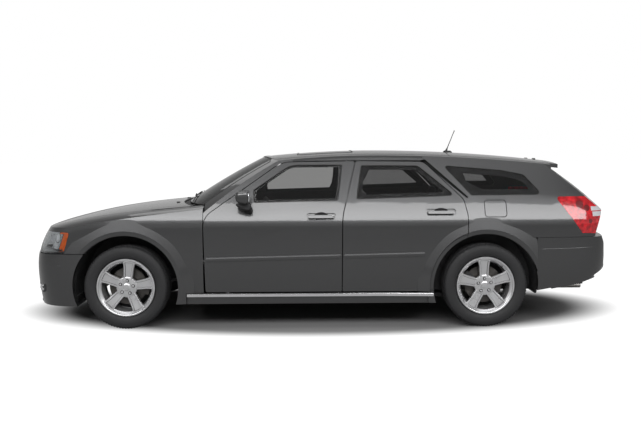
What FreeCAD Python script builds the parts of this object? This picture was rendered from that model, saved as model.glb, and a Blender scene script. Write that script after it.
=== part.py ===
import math
import os
from types import SimpleNamespace

import FreeCAD
import Part
import Sketcher
from FreeCAD import Placement, Rotation, Vector

# Family station wagon. X runs along the length with the nose at -X, Y across with the
# driver's left side at -Y, Z up from the ground. Lengths in millimetres.

doc = FreeCAD.newDocument("station_wagon")
sheet = doc.addObject("Spreadsheet::Sheet", "sizes")

SIZES = {
    # overall
    "body_length": 5022,
    "skin_half_width": 926,
    "roof_height": 1500,
    "front_axle": -1654,
    "rear_axle": 1394,
    "half_track": 800,
    "wheel_height": 356,
    # side skin
    "waist_low": 600,
    "sill_tuck": 36,
    "shoulder_height": 880,
    "shoulder_radius": 60,
    "lean": 0.5,
    "nose_start": -1800,
    "nose_length_power": 4,
    "nose_width_power": 4.3,
    "tail_start": 1500,
    "tail_taper": 60,
    "tail_corner": 200,
    "cabin_pinch": 40,
    # top skins
    "hood_rear": -1262,
    "hood_height": 1040,
    "hood_slope": 0.09,
    "hood_drop": 70,
    "hood_crown": 16,
    "fender_roll": 30,
    "screen_base": -1147,
    "screen_base_height": 1091,
    "screen_slope": 0.66,
    "screen_bow": 0.00013763,
    "screen_wrap": 110,
    "roof_peak": 450,
    "roof_front_fall": 0.000055,
    "roof_rear_fall": 0.000036,
    "roof_crown": 26,
    "roof_roll": 8,
    "roof_front": -526,
    "roof_front_side": -402,
    "roof_front_corner": -355,
    "roof_side": 600,
    "roof_rear": 2002,
    "back_start": 2157,
    "back_height": 1294,
    "back_slope": 0.72,
    "back_bow": 0.00029,
    "back_wrap": 126,
    # end skins
    "front_point": -2508,
    "front_rise": 133,
    "front_belly": 14,
    "gate_foot": 2423,
    "gate_lean": 48,
    "end_wrap": 92,
    "bumper_rear": 2503,
    # panel thicknesses and gaps
    "panel_gap": 6,
    "skin_plate": 22,
    "fender_wall": 32,
    "side_wall": 50,
    "seam": 3,
    "seat_gap": 0.3,
    "door_depth": 118,
    "door_inset": 26,
    "bonnet_wall": 26,
    "roof_wall": 38,
    "gate_wall": 52,
    "glass_thickness": 6,
    "glass_depth": 4,
    # hinges
    "pin_radius": 3,
    "pin_gap": 0.4,
    "eye_radius": 7,
    "gate_hinge_x": 2008,
    "gate_hinge_z": 1415.6,
    "gate_hinge_y": 130,
    "gate_eye_half": 20,
    "hood_hinge_x": -1100,
    "hood_hinge_z": 1036,
    "hood_hinge_y": 685,
    "hood_eye_half": 10,
    "flap_hinge_x": 1394,
    # wheels
    "tyre_radius": 356,
    "tyre_width": 225,
    "bead_radius": 228,
    "rim_lip_radius": 246,
    "rim_half_width": 104,
    "bead_top": 8.4,
    "bead_toe": 12.5,
    "rim_wall": 9,
    "well_depth": 22,
    "hub_face": 66,
    "spoke_back": 22,
    "spoke_count": 5,
    "window_inner": 96,
    "window_outer": 203,
    "window_half_angle": 23,
    "window_foot": 13,
    "lug_circle": 57,
    "lug_pocket": 15,
    "lug_across": 9,
    "lug_height": 14,
    "cap_radius": 32,
    "stub_radius": 30,
    "bore_gap": 0.5,
    "disc_radius": 160,
    "disc_thick": 26,
    "hat_radius": 78,
    # arches
    "arch_radius": 445,
    "flare_lip": 484,
    "flare_blend": 582,
    "flare_out": 941,
    "liner_radius": 452,
    "front_well_inner": 470,
    "rear_well_inner": 640,
    # doors
    "door_low": 316,
    "door_top": 1412,
    "sill_top": 306,
    "sill_low": 212,
    "front_door_front": -990,
    "middle_cut": 176,
    "rear_door_rear": 1228,
    # floor
    "floor_low": 215,
    "floor_thick": 30,
    "load_floor": 600,
    "load_rear": 2330,
    "firewall": -1170,
    "seat_back_wall": 1180,
    # king pins
    "king_inboard": 70,
    "king_radius": 11,
    "king_reach": 130,
    # steering wheel
    "steer_radius": 185,
    "steer_grip": 15,
    "steer_tilt": 25,
    "steer_x": -420,
    "steer_y": -370,
    "steer_z": 905,
}

row = 1
for name, value in SIZES.items():
    sheet.set("A%d" % row, name)
    sheet.set("B%d" % row, str(value))
    sheet.setAlias("B%d" % row, name)
    row += 1
doc.recompute()
s = SimpleNamespace(**{name: float(sheet.get(name)) for name in SIZES})

WIDE = 3000


def words(text):
    """An expression in alias names, turned into one that reads the sheet."""
    out = ""
    word = ""
    for letter in str(text) + " ":
        if letter.isalnum() or letter == "_":
            word += letter
            continue
        out += "sizes." + word if word in SIZES else word
        out += letter
        word = ""
    return out.strip()


def bind(item, field, text):
    item.setExpression(field, words(text))


def place(item, x=0, y=0, z=0, axis=None, angle=0):
    """Put an object at an x, y, z given as expressions, turned about an axis."""
    if axis is not None:
        item.Placement = Placement(Vector(0, 0, 0), Rotation(axis, angle))
    for field, text in (("x", x), ("y", y), ("z", z)):
        bind(item, "Placement.Base." + field, text)
    return item


def block(x0, x1, y0, y1, z0, z1):
    item = doc.addObject("Part::Box", "block")
    bind(item, "Length", "(%s) - (%s)" % (x1, x0))
    bind(item, "Width", "(%s) - (%s)" % (y1, y0))
    bind(item, "Height", "(%s) - (%s)" % (z1, z0))
    return place(item, x0, y0, z0)


X_AXIS = Vector(1, 0, 0)
Y_AXIS = Vector(0, 1, 0)
Z_AXIS = Vector(0, 0, 1)


def rod(radius, length, x, y, z, along="z"):
    """A cylinder starting at x, y, z and running along an axis."""
    item = doc.addObject("Part::Cylinder", "rod")
    bind(item, "Radius", radius)
    bind(item, "Height", length)
    turn = {"x": (Y_AXIS, 90), "y": (X_AXIS, -90), "z": (None, 0)}[along]
    return place(item, x, y, z, *turn)


def fixed(shape, name="piece"):
    item = doc.addObject("Part::Feature", name)
    item.Shape = shape
    return item


def joined(items, name="joined"):
    item = doc.addObject("Part::MultiFuse", name)
    item.Refine = False
    item.Shapes = items
    return item


def grouped(items, name="grouped"):
    item = doc.addObject("Part::Compound", name)
    item.Links = items
    return item


def less(base, tool, name="less"):
    item = doc.addObject("Part::Cut", name)
    item.Base = base
    item.Tool = tool
    return item


def mirrored(source, name="mirrored"):
    item = doc.addObject("Part::Mirroring", name)
    item.Source = source
    item.Normal = Y_AXIS
    item.Base = Vector(0, 0, 0)
    return item


nodes = []


def node(item, label):
    item.Label = label
    nodes.append(item)
    return item


# Skins of the body, each a formula of the named sizes.

def side_width(x, z):
    width = s.skin_half_width
    if z < s.waist_low:
        width -= s.sill_tuck * ((s.waist_low - z) / 400) ** 2
    rise = z - s.shoulder_height
    if rise > 0:
        width -= s.lean * (math.hypot(rise, s.shoulder_radius) - s.shoulder_radius)
    half = s.body_length / 2
    if x > s.tail_start:
        reach = (x - s.tail_start) / (half - s.tail_start)
        width -= s.tail_taper * reach ** 2 + s.tail_corner * reach ** 10
    if x > 600 and z > 1100:
        width -= s.cabin_pinch * ((x - 600) / 1400) ** 2 * ((z - 1100) / 300)
    return width


def hood_skin(x, y):
    run = s.hood_rear - x
    fall = s.hood_slope * run + s.hood_drop * max(run, 0) ** 3 / 1.331e9
    side = s.hood_crown * (y / 740) ** 2 + s.fender_roll * (abs(y) / 900) ** 10
    return s.hood_height - fall - side


def screen_skin(x, y):
    run = x - s.screen_base
    rise = s.screen_slope * run - s.screen_bow * run ** 2
    return s.screen_base_height + rise - s.screen_wrap * (abs(y) / 700) ** 2.5


def roof_skin(x, y):
    fall = s.roof_front_fall if x < s.roof_peak else s.roof_rear_fall
    side = s.roof_crown * (y / 600) ** 2 + s.roof_roll * (y / 670) ** 8
    return s.roof_height - fall * (x - s.roof_peak) ** 2 - side


def back_skin(x, y):
    run = x - s.back_start
    fall = s.back_slope * run + s.back_bow * max(run, 0) ** 2
    return s.back_height - fall - s.back_wrap * (abs(y) / 840) ** 2.5


def front_reach(z):
    over = max(z - 500, 0) / 375
    below = max(500 - z, 0) / 215
    return s.front_point + s.front_rise * over ** 2.2 + s.front_belly * below ** 2


def gate_skin(y, z):
    lean = s.gate_lean * min((z - 757) / 221, 1.1)
    return s.gate_foot + lean - s.end_wrap * (abs(y) / 860) ** 4


def bumper_skin(y, z):
    tuck = 51 * (max(381 - z, 0) / 55) ** 1.3 + 6 * (max(z - 600, 0) / 110) ** 2
    return s.bumper_rear - tuck - s.end_wrap * (abs(y) / 860) ** 4


def steps(low, high, step, fine_low=None, fine_high=None, fine=60):
    out = []
    at = low
    while at < high - 1:
        out.append(at)
        near = (fine_low is not None and at < fine_low)
        near = near or (fine_high is not None and at >= fine_high)
        at += fine if near else step
    out.append(high)
    return out


def surface(rows):
    made = Part.BSplineSurface()
    made.interpolate(rows)
    return made.toShape()


SIDE_X = steps(-2620, 2620, 260, None, 1980, 60)
SIDE_Z = [60, 200, 330, 460, 600, 740, 830, 880, 915, 950, 990, 1040, 1110, 1200, 1300, 1400, 1500, 1620]
SIDE_Y = [-1000, -880, -760, -620, -450, -240, 0, 240, 450, 620, 760, 880, 1000]
BUMPER_Z = [250, 300, 340, 381, 430, 500, 600, 660, 720, 790]


def side_surface(xs):
    return surface([[Vector(x, -side_width(x, z), z) for z in SIDE_Z] for x in xs])


side_face = side_surface(SIDE_X)
side_doors = side_surface(steps(-1260, 1340, 200))
side_tail = side_surface(steps(860, 2620, 200, None, 1900, 60))


def top_face(skin, xs):
    return surface([[Vector(x, y, skin(x, y)) for y in SIDE_Y] for x in xs])


def end_face(skin, zs):
    return surface([[Vector(skin(y, z), y, z) for z in zs] for y in SIDE_Y])


hood_face = top_face(hood_skin, steps(-2640, -400, 140))
screen_face = top_face(screen_skin, steps(-1600, -160, 120))
roof_face = top_face(roof_skin, steps(-900, 2500, 200))
back_face = top_face(back_skin, steps(1640, 2640, 100))
gate_face = end_face(gate_skin, [100, 400, 640, 757, 860, 978, 1060, 1200, 1400, 1600])
bumper_face = end_face(bumper_skin, BUMPER_Z)


def inside_left(inset, face=None):
    face = (face or side_face).translated(Vector(0, inset, 0))
    return face.extrude(Vector(0, WIDE, 0))


def inside_right(inset):
    return inside_left(inset).mirror(Vector(0, 0, 0), Y_AXIS)


def nose_section(z, inset):
    """The front end seen from above at one height: straight flanks and a rounded nose."""
    wide = side_width(-1500, z) - inset
    tip = front_reach(z) + inset
    reach = s.nose_start - tip
    points = []
    for k in range(25):
        turn = math.pi * (1 - k / 24)
        across = math.cos(turn)
        along = math.sin(turn)
        y = wide * math.copysign(abs(across) ** (2 / s.nose_width_power), across)
        points.append(Vector(s.nose_start - reach * abs(along) ** (2 / s.nose_length_power), y, z))
    curve = Part.BSplineCurve()
    curve.interpolate(points, InitialTangent=Vector(-1, 0, 0), FinalTangent=Vector(1, 0, 0))
    back = -900
    corner_left = Vector(back, -wide, z)
    corner_right = Vector(back, wide, z)
    return Part.Wire([Part.LineSegment(corner_left, points[0]).toShape(), curve.toShape(),
                      Part.LineSegment(points[-1], corner_right).toShape(),
                      Part.LineSegment(corner_right, corner_left).toShape()])


def front_body(inset=0, low=180, high=1110):
    heights = [z for z in (180, 240, 320, 420, 520, 640, 760, 860, 920, 980, 1040, 1110) if low <= z <= high]
    return Part.makeLoft([nose_section(z, inset) for z in heights], True)


def under(face, inset=0):
    return face.translated(Vector(0, 0, -inset)).extrude(Vector(0, 0, -2000))


def over(face, inset=0):
    return face.translated(Vector(0, 0, -inset)).extrude(Vector(0, 0, 2000))


def ahead(face, inset=0):
    return face.translated(Vector(-inset, 0, 0)).extrude(Vector(-6000, 0, 0))


def sewn(shape):
    """The same shape with edges and faces brought to one tolerance."""
    shape = shape.copy()
    shape.fix(0.001, 0.001, 0.01)
    return shape


def patch(face, thickness, *tools):
    """The part of a skin inside the tools, thickened along a vector."""
    for tool in tools:
        face = face.common(tool)
    solids = [sewn(item.extrude(thickness)) for item in face.Faces]
    return solids[0].fuse(solids[1:]) if len(solids) > 1 else solids[0]


def common(base, *tools):
    for tool in tools:
        base = base.common(tool)
    return base


def minus(base, *tools):
    for tool in tools:
        base = base.cut(tool)
    return base


def slab(x0, x1, y0, y1, z0, z1):
    return Part.makeBox(x1 - x0, y1 - y0, z1 - z0, Vector(x0, y0, z0))


def outline(corners):
    """A flat closed wire through rounded corners, each (a, b, radius)."""
    spans = []
    count = len(corners)
    for i in range(count):
        here = Vector(corners[i][0], corners[i][1], 0)
        last = Vector(corners[i - 1][0], corners[i - 1][1], 0) - here
        following = corners[(i + 1) % count]
        ahead_to = Vector(following[0], following[1], 0) - here
        last.normalize()
        ahead_to.normalize()
        radius = corners[i][2]
        if radius <= 0:
            spans.append((here, None, here))
            continue
        half = last.getAngle(ahead_to) / 2
        reach = radius / math.tan(half)
        inward = last + ahead_to
        inward.normalize()
        centre = here + inward * (radius / math.sin(half))
        spans.append((here + last * reach, centre - inward * radius, here + ahead_to * reach))
    edges = []
    for i in range(count):
        start, middle, end = spans[i]
        if middle is not None:
            edges.append(Part.Arc(start, middle, end).toShape())
        onward = spans[(i + 1) % count][0]
        if end.distanceToPoint(onward) > 0.001:
            edges.append(Part.LineSegment(end, onward).toShape())
    return Part.Wire(edges)


def grown(wire, by):
    return wire.makeOffset2D(by) if by else wire


SIDE_VIEW = Rotation(X_AXIS, 90)
END_VIEW = Rotation(Vector(0, 1, 0), Vector(0, 0, 1), Vector(1, 0, 0), "XYZ")


def side_prism(wire, y0=-1100, y1=-300):
    face = Part.Face(wire)
    face.Placement = Placement(Vector(0, y0, 0), SIDE_VIEW)
    return face.extrude(Vector(0, y1 - y0, 0))


def plan_prism(wire, z0=100, z1=1800):
    face = Part.Face(wire)
    face.Placement = Placement(Vector(0, 0, z0), Rotation())
    return face.extrude(Vector(0, 0, z1 - z0))


def end_prism(wire, x0, x1):
    face = Part.Face(wire)
    face.Placement = Placement(Vector(x0, 0, 0), END_VIEW)
    return face.extrude(Vector(x1 - x0, 0, 0))


def disc(radius, x, y0, y1, z=None):
    z = s.wheel_height if z is None else z
    return Part.makeCylinder(radius, y1 - y0, Vector(x, y0, z), Y_AXIS)


def other_side(shape):
    return shape.mirror(Vector(0, 0, 0), Y_AXIS)


gap = s.panel_gap
left = inside_left(0)

# Outlines seen from the side.
low = s.door_low
cut = s.middle_cut
front_edge = s.front_door_front
FRONT_DOOR = [(cut - gap / 2 - 2, low, 14), (cut, 950, 500), (cut + 118, s.door_top, 14), (-335, s.door_top - 8, 260),
              (front_edge, 948, 150), (front_edge + 11, low, 14)]
REAR_DOOR = [(cut + gap / 2, low, 14), (cut + gap + 2, 950, 500), (cut + 118 + gap + 4, s.door_top, 14),
             (884, s.door_top - 8, 100), (1206, 1088, 90), (s.rear_door_rear + 6, 960, 200),
             (s.rear_door_rear, low, 14)]
FRONT_GLASS = [(142, 1083, 12), (188, 1380, 14), (-262, 1380, 190), (-574, 1172, 16), (-566, 1068, 12)]
REAR_GLASS = [(297, 1092, 14), (348, 1376, 14), (836, 1370, 70), (1142, 1118, 18)]
QUARTER_GLASS = [(1276, 1119, 16), (1890, 1121, 26), (1745, 1292, 60), (1560, 1328, 200), (1050, 1372, 16)]
LAMP_SIDE = [(-2700, 640, 0), (-2166, 652, 14), (-2112, 828, 14), (-2700, 838, 0)]
TAIL_SIDE = [(2214, 800, 12), (1992, 1106, 20), (2600, 1106, 0), (2600, 784, 0)]
FUEL_SIDE = [(1384, 946, 24), (1562, 946, 24), (1562, 1078, 24), (1384, 1078, 24)]


def roof_outline(rear, rear_side):
    """The roof from above: a bowed front edge and straight sides, back to a rear edge."""
    near = Vector(s.roof_front_side, -s.roof_side, 0)
    far = Vector(s.roof_front_side, s.roof_side, 0)
    ends = [far, Vector(rear, rear_side, 0), Vector(rear, -rear_side, 0), near]
    edges = [Part.Arc(near, Vector(s.roof_front, 0, 0), far).toShape()]
    for start, end in zip(ends, ends[1:]):
        edges.append(Part.LineSegment(start, end).toShape())
    return Part.Wire(edges)


# Hinges across the car: an eye on the moving piece between two lugs that hold the pin.


def along_y(radius, x, y0, y1, z):
    return Part.makeCylinder(radius, y1 - y0, Vector(x, y0, z), Y_AXIS)


def hinge_eye(x, y, z, half):
    eye_shape = along_y(s.eye_radius, x, y - half, y + half, z)
    return eye_shape.cut(along_y(s.pin_radius + s.pin_gap, x, y - half - 1, y + half + 1, z))


def hinge_lugs(x, y, z, half, foot_x, foot_z):
    """The pin and its two lugs, with feet reaching to foot_x and down to foot_z."""
    wide = 14 if half > 12 else 10
    made = along_y(s.pin_radius, x, y - half - wide, y + half + wide, z)
    for start in (y - half - 1 - wide, y + half + 1):
        made = made.fuse(along_y(s.eye_radius, x, start, start + wide, z))
        made = made.fuse(slab(min(foot_x, x - 4), max(foot_x, x + 4) if foot_x > x else x, start, start + wide, foot_z, z - 4))
    return made


# Wheel-arch flares: raised rings about the wheel centres.


def flare(x):
    low_y = -s.skin_half_width
    lip = -s.flare_out
    ring = Part.makePolygon([Vector(0, low_y + 60, s.arch_radius), Vector(0, lip, s.arch_radius + 4),
                             Vector(0, lip, s.flare_lip), Vector(0, low_y + 8, s.flare_blend),
                             Vector(0, low_y + 60, s.flare_blend), Vector(0, low_y + 60, s.arch_radius)])
    ring.translate(Vector(x, 0, s.wheel_height))
    solid = Part.Face(ring).revolve(Vector(x, 0, s.wheel_height), Y_AXIS, 360)
    return common(solid, slab(x - 700, x + 700, -1000, -700, s.sill_low + 8, 1200))


front_flare = flare(s.front_axle)
rear_flare = flare(s.rear_axle)
front_hole = disc(s.arch_radius, s.front_axle, -1100, 0)
rear_hole = disc(s.arch_radius, s.rear_axle, -1100, 0)

# Doors: an outer skin over the whole outline, a deeper box set in from the edges below the
# belt, a window opening and a pocket for the outer handle.


def door(corners, glass, cutter=None, flared=None, frame_inset=14):
    wire = outline(corners)
    prism = side_prism(wire)
    outer = common(prism, left)
    plate = minus(outer, inside_left(s.skin_plate))
    if flared is not None:
        plate = plate.fuse(minus(common(flared, prism), inside_left(s.skin_plate - 4)))
    inner_wire = grown(wire, -s.door_inset)
    deep = common(side_prism(inner_wire), inside_left(s.skin_plate - 4), slab(-1200, 1400, -1000, -300, 0, 1060))
    deep = minus(deep, inside_left(s.door_depth))
    frame = common(side_prism(grown(wire, -frame_inset)), inside_left(s.skin_plate - 4))
    frame = minus(common(frame, slab(-1200, 1400, -1000, -300, 1040, 1500)), inside_left(42))
    whole = plate.fuse(deep).fuse(frame)
    whole = whole.cut(over(roof_face, 2))
    if cutter is not None:
        whole = whole.cut(cutter)
    return whole.cut(side_prism(outline(glass)))


def door_glass(glass):
    prism = side_prism(grown(outline(glass), -s.seat_gap))
    return minus(common(prism, inside_left(s.glass_depth)), inside_left(s.glass_depth + s.glass_thickness))


def moulding(x0, x1, z0, z1):
    """A rubbing strip on the skin from x0 to x1, as a raised rounded bar."""
    wire = outline([(x0, z0, 6), (x1, z0 + 0.021 * (x1 - x0), 6), (x1, z1 + 0.021 * (x1 - x0), 6), (x0, z1, 6)])
    return minus(common(side_prism(wire), inside_left(-9)), inside_left(10))


def handle(x0, x1, z0, z1):
    """A pull bar standing off a shallow round-ended dish in the skin."""
    middle = (z0 + z1) / 2
    wire = outline([(x0 + 14, middle - 11, 10), (x1 - 14, middle - 11, 10),
                    (x1 - 14, middle + 11, 10), (x0 + 14, middle + 11, 10)])
    bar = minus(common(side_prism(wire), inside_left(-18)), inside_left(-2))
    post_one = common(slab(x0 + 16, x0 + 40, -1000, -700, middle - 9, middle + 9), inside_left(-8))
    post_two = common(slab(x1 - 40, x1 - 16, -1000, -700, middle - 9, middle + 9), inside_left(-8))
    posts = minus(post_one.fuse(post_two), inside_left(18))
    return bar.fuse(posts)


def handle_dish(x0, x1, z0, z1):
    wire = outline([(x0, z0, 24), (x1, z0, 24), (x1, z1, 24), (x0, z1, 24)])
    return minus(side_prism(wire), inside_left(12))


rear_gap_ring = disc(s.arch_radius + 35, s.rear_axle, -1100, 0)
front_door = door(FRONT_DOOR, FRONT_GLASS)
FRONT_HANDLE = (-124, 124, 927, 981)
front_door = front_door.cut(handle_dish(*FRONT_HANDLE)).fuse(handle(*FRONT_HANDLE))
front_door = front_door.fuse(moulding(-974, 164, 577, 617))
rear_door = door(REAR_DOOR, REAR_GLASS, rear_gap_ring, rear_flare)
rear_door = rear_door.cut(handle_dish(884, 1136, 956, 1012)).fuse(handle(884, 1136, 956, 1012))
rear_door = rear_door.fuse(minus(moulding(190, 868, 601, 641), rear_gap_ring))

# Side of the body: quarter panel, sill, pillars, roof rail, cut for doors and windows.
def carve(face, *tools):
    for tool in tools:
        face = face.cut(tool)
    return face


front_opening = side_prism(grown(outline(FRONT_DOOR), gap))
door_ring = disc(s.arch_radius + 35 - gap, s.rear_axle, -1100, 0)
rear_opening = minus(side_prism(grown(outline(REAR_DOOR), gap)), door_ring)
slanted = side_prism(outline([(860, 1419, 0), (1236, 1098, 0), (1252, 1106, 0), (902, 1424, 0)]))
SCREEN_END = [(-770, 1000, 0), (770, 1000, 0), (592, 1460, 30), (-592, 1460, 30)]
screen_prism = end_prism(outline(SCREEN_END), -1500, -440)
GATE_END = [(-640, 778, 14), (640, 778, 14), (640, 1100, 14), (706, 1130, 40), (590, 1480, 40),
            (-590, 1480, 40), (-706, 1130, 40), (-640, 1100, 14)]
gate_prism = end_prism(grown(outline(GATE_END), gap), 2002, 2700)
below_roof = under(roof_face)
wall = Vector(0, s.side_wall, 0)
tail_hole = common(side_prism(grown(outline(TAIL_SIDE), 1), -1100, -600), slab(1900, 2700, -1100, -600, 700, 1200))
quarter_skin = carve(side_tail.common(slab(880, 2440, -1000, 0, s.sill_top, 1520)), rear_opening, slanted, rear_hole,
                     side_prism(outline(QUARTER_GLASS)), tail_hole, slab(1800, 2600, -1100, 0, 100, 768), gate_prism,
                     over(roof_face), over(back_face))
quarter_wall = patch(quarter_skin, wall, ahead(gate_face))
pillar_skin = carve(side_doors.common(slab(front_edge, -240, -1000, 0, 905, 1470)), front_opening, over(screen_face), over(roof_face))
front_pillar = patch(pillar_skin, wall)
screen_edge = carve(screen_face.common(slab(front_edge, s.roof_front_corner + 5, -1000, -560, 905, 1500)), screen_prism, front_opening,
                    over(roof_face))
left_in = inside_left(s.seam)
drop = Vector(0, 0, -s.seam / 2)
screen_post = patch(screen_edge.translated(drop), Vector(0, 0, -s.side_wall), left_in)
glass_seat = 3 + s.glass_thickness + s.seat_gap
screen_post = screen_post.cut(common(screen_prism, over(screen_face, glass_seat)))
rail_plan = outline([(s.roof_front_side, -s.roof_side, 0), (s.roof_front_corner, -690, 0),
                     (s.roof_front_corner + 57, -800, 0), (s.roof_rear, -800, 0), (s.roof_rear, -s.roof_side, 0)])
rail_skin = roof_face.common(plan_prism(rail_plan, 1200, 1500))
rail_top = patch(rail_skin.translated(drop), Vector(0, 0, -s.side_wall + 8), left_in)
corner_skin = carve(back_face.common(slab(1900, 2460, -1000, -560, 1040, 1500)), gate_prism, tail_hole)
corner_post = patch(corner_skin.translated(drop), Vector(0, 0, -s.side_wall), left_in, below_roof,
                    ahead(gate_face, s.seam / 2))
body_half = quarter_wall
for extra in (front_pillar, screen_post, rail_top, corner_post):
    body_half = body_half.fuse(extra)
roof_clear = plan_prism(grown(roof_outline(s.roof_rear, s.roof_side), 0.4), 1000, 1800)
body_half = minus(body_half, front_opening, rear_opening, slanted, gate_prism, tail_hole, roof_clear)
fuel_wire = outline(FUEL_SIDE)
sill = common(slab(-1140, 985, -1000, -745, s.sill_low, s.sill_top), left)
liner_clear = disc(s.liner_radius + 9, s.rear_axle, -866, 0)
sill = sill.cut(disc(s.arch_radius, s.rear_axle, -1100, 0)).cut(liner_clear)
ledge = common(slab(-1140, 985, -1000, -850, 276, s.sill_top), inside_left(-14))
ledge = ledge.cut(liner_clear).cut(disc(s.arch_radius, s.rear_axle, -1100, 0)).cut(disc(s.arch_radius, s.front_axle, -1100, 0))
pillar_wire = outline([(110, 260, 0), (250, 260, 0), (262, 950, 0), (352, 1440, 0), (232, 1440, 0), (122, 950, 0)])
pillar_low = minus(common(side_prism(pillar_wire), inside_left(s.door_depth + 10), slab(0, 500, -1000, 0, 0, 1080)),
                   inside_left(s.door_depth + 64))
pillar_high = minus(common(side_prism(pillar_wire), inside_left(48), slab(0, 500, -1000, 0, 1060, s.door_top + 14)),
                    inside_left(110))
bridge = minus(common(side_prism(pillar_wire), inside_left(52), slab(0, 500, -1000, 0, 1062, 1100)),
               inside_left(s.door_depth + 64))
hinge_post = common(slab(s.firewall - 22, front_edge - gap - 2, -1000, -745, 260, 950), inside_left(s.side_wall + 13))
post_top = minus(common(slab(-1060, -930, -900, -700, 930, 1100), inside_left(38), under(screen_face, 6),
                        under(hood_face, s.fender_wall + 6)), inside_left(100))
post_top = post_top.cut(front_opening)
rail = common(slab(-330, 1240, -740, -620, s.door_top + gap, 1500), inside_left(10), under(roof_face, 20))
flare_part = minus(rear_flare, common(side_prism(outline(REAR_DOOR)), slab(0, 1300, -1100, 0, 0, 1500)))
flare_part = minus(flare_part, rear_opening, rear_hole)
flare_part = minus(flare_part, slab(1824, 2600, -1100, 0, 0, 768), slab(1800, 1830, -1100, 0, 0, 300),
                   slab(0, 905, -1100, 0, 0, 500))
for extra in (sill, ledge, pillar_low, pillar_high, bridge, hinge_post, post_top, rail, flare_part):
    body_half = body_half.fuse(extra)
body_right_shape = other_side(body_half)
fuel_pocket = minus(common(side_prism(grown(fuel_wire, gap)), left), inside_left(s.side_wall - 6))
pin_low = Vector(s.flap_hinge_x, -side_width(1384, 946) + 4.4, 946)
pin_high = Vector(s.flap_hinge_x, -side_width(1384, 1078) + 4.4, 1078)
pin_line = pin_high - pin_low
pin_line.normalize()
flap_pin = Part.makeCylinder(2, 156, pin_low - pin_line * 6, pin_line)
flap_bore = Part.makeCylinder(2 + s.pin_gap, 180, pin_low - pin_line * 18, pin_line)
body_left_shape = body_half.cut(fuel_pocket).fuse(flap_pin)
fuel_plate = minus(common(side_prism(fuel_wire), left), inside_left(8), flap_bore)
node(fixed(body_left_shape), "body_side_left")
node(fixed(body_right_shape), "body_side_right")
node(fixed(fuel_plate), "fuel_flap")
node(fixed(front_door), "door_front_left")
node(fixed(other_side(front_door)), "door_front_right")
node(fixed(rear_door), "door_rear_left")
node(fixed(other_side(rear_door)), "door_rear_right")
front_pane = door_glass(FRONT_GLASS)
rear_pane = door_glass(REAR_GLASS)
node(fixed(front_pane), "glass_front_left")
node(fixed(other_side(front_pane)), "glass_front_right")
node(fixed(rear_pane), "glass_rear_left")
node(fixed(other_side(rear_pane)), "glass_rear_right")

# Bonnet, with its front lip, and the fenders beside it.
BONNET = [(-2500, -690, 0), (-1104, -742, 30), (-1104, 742, 30), (-2500, 690, 0)]
cowl_arc = Part.Wire([Part.Arc(Vector(-1104, -752, 0), Vector(-1272, 0, 0), Vector(-1104, 752, 0)).toShape(),
                      Part.LineSegment(Vector(-1104, 752, 0), Vector(-900, 752, 0)).toShape(),
                      Part.LineSegment(Vector(-900, 752, 0), Vector(-900, -752, 0)).toShape(),
                      Part.LineSegment(Vector(-900, -752, 0), Vector(-1104, -752, 0)).toShape()])
bonnet_plan = plan_prism(outline(BONNET), 700, 1300).cut(plan_prism(cowl_arc, 600, 1400))
bonnet_hole = plan_prism(grown(outline(BONNET), gap), 600, 1400)
front_whole = front_body()
bonnet_top = patch(hood_face, Vector(0, 0, -s.bonnet_wall), bonnet_plan, front_whole)
bonnet_lip = common(front_whole, plan_prism(outline([(-2500, -690, 0), (-2200, -700, 0), (-2200, 700, 0), (-2500, 690, 0)]),
                                            842, 960), under(hood_face, 4))
bonnet = bonnet_top.fuse(minus(bonnet_lip, front_body(28)))
lamp_wire = outline(LAMP_SIDE)
lamp_clear = side_prism(grown(lamp_wire, gap), -1100, -424 + gap)
bonnet = minus(bonnet, lamp_clear, other_side(lamp_clear))
for y in (-s.hood_hinge_y, s.hood_hinge_y):
    link = slab(s.hood_hinge_x - 52, s.hood_hinge_x - s.pin_radius - 1, y - 7, y + 7, s.hood_hinge_z - 15, s.hood_hinge_z - 3)
    bonnet = bonnet.fuse(link).fuse(hinge_eye(s.hood_hinge_x, y, s.hood_hinge_z, s.hood_eye_half))
node(fixed(bonnet), "bonnet")

fender = common(front_whole, slab(-2440, front_edge - gap, -1000, -560, s.sill_low + 8, 1100), under(hood_face))
fender = minus(fender, common(front_body(s.fender_wall), under(hood_face, s.fender_wall)), bonnet_hole, front_hole)
fender = minus(fender, side_prism(grown(outline(FRONT_DOOR), gap)), screen_prism)
fender = minus(fender, slab(-2800, -1960, -1100, 0, 0, 652), slab(-1142, -900, -1100, 0, 0, s.sill_top + 4))
lamp_zone = side_prism(lamp_wire, -1100, -424)
fender = minus(fender, side_prism(grown(lamp_wire, 1), -1100, -423))
fender = fender.fuse(minus(front_flare, slab(-2400, -1960, -1100, 0, 0, 652), front_hole,
                           slab(-1142, -900, -1100, 0, 0, s.sill_top + 4)))
fender_right = other_side(fender)
node(grouped([fixed(fender), fixed(fender_right)]), "front_fenders")

lamp_body = common(lamp_zone, front_whole)
lamp_cover = minus(lamp_body, front_body(6))
lamp_deep = common(lamp_zone, front_body(6 + s.seat_gap))
lamp_bowl = common(side_prism(grown(lamp_wire, -14), -1100, -440), slab(-2700, -2120, -1100, -440, 600, 900))
lamp_bowl = minus(lamp_bowl, front_body(84))
lamp_deep = minus(lamp_deep, front_body(100), lamp_bowl)
node(grouped([fixed(lamp_deep), fixed(other_side(lamp_deep))]), "headlamps")
node(grouped([fixed(lamp_cover), fixed(other_side(lamp_cover))]), "headlamp_lenses")

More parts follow.
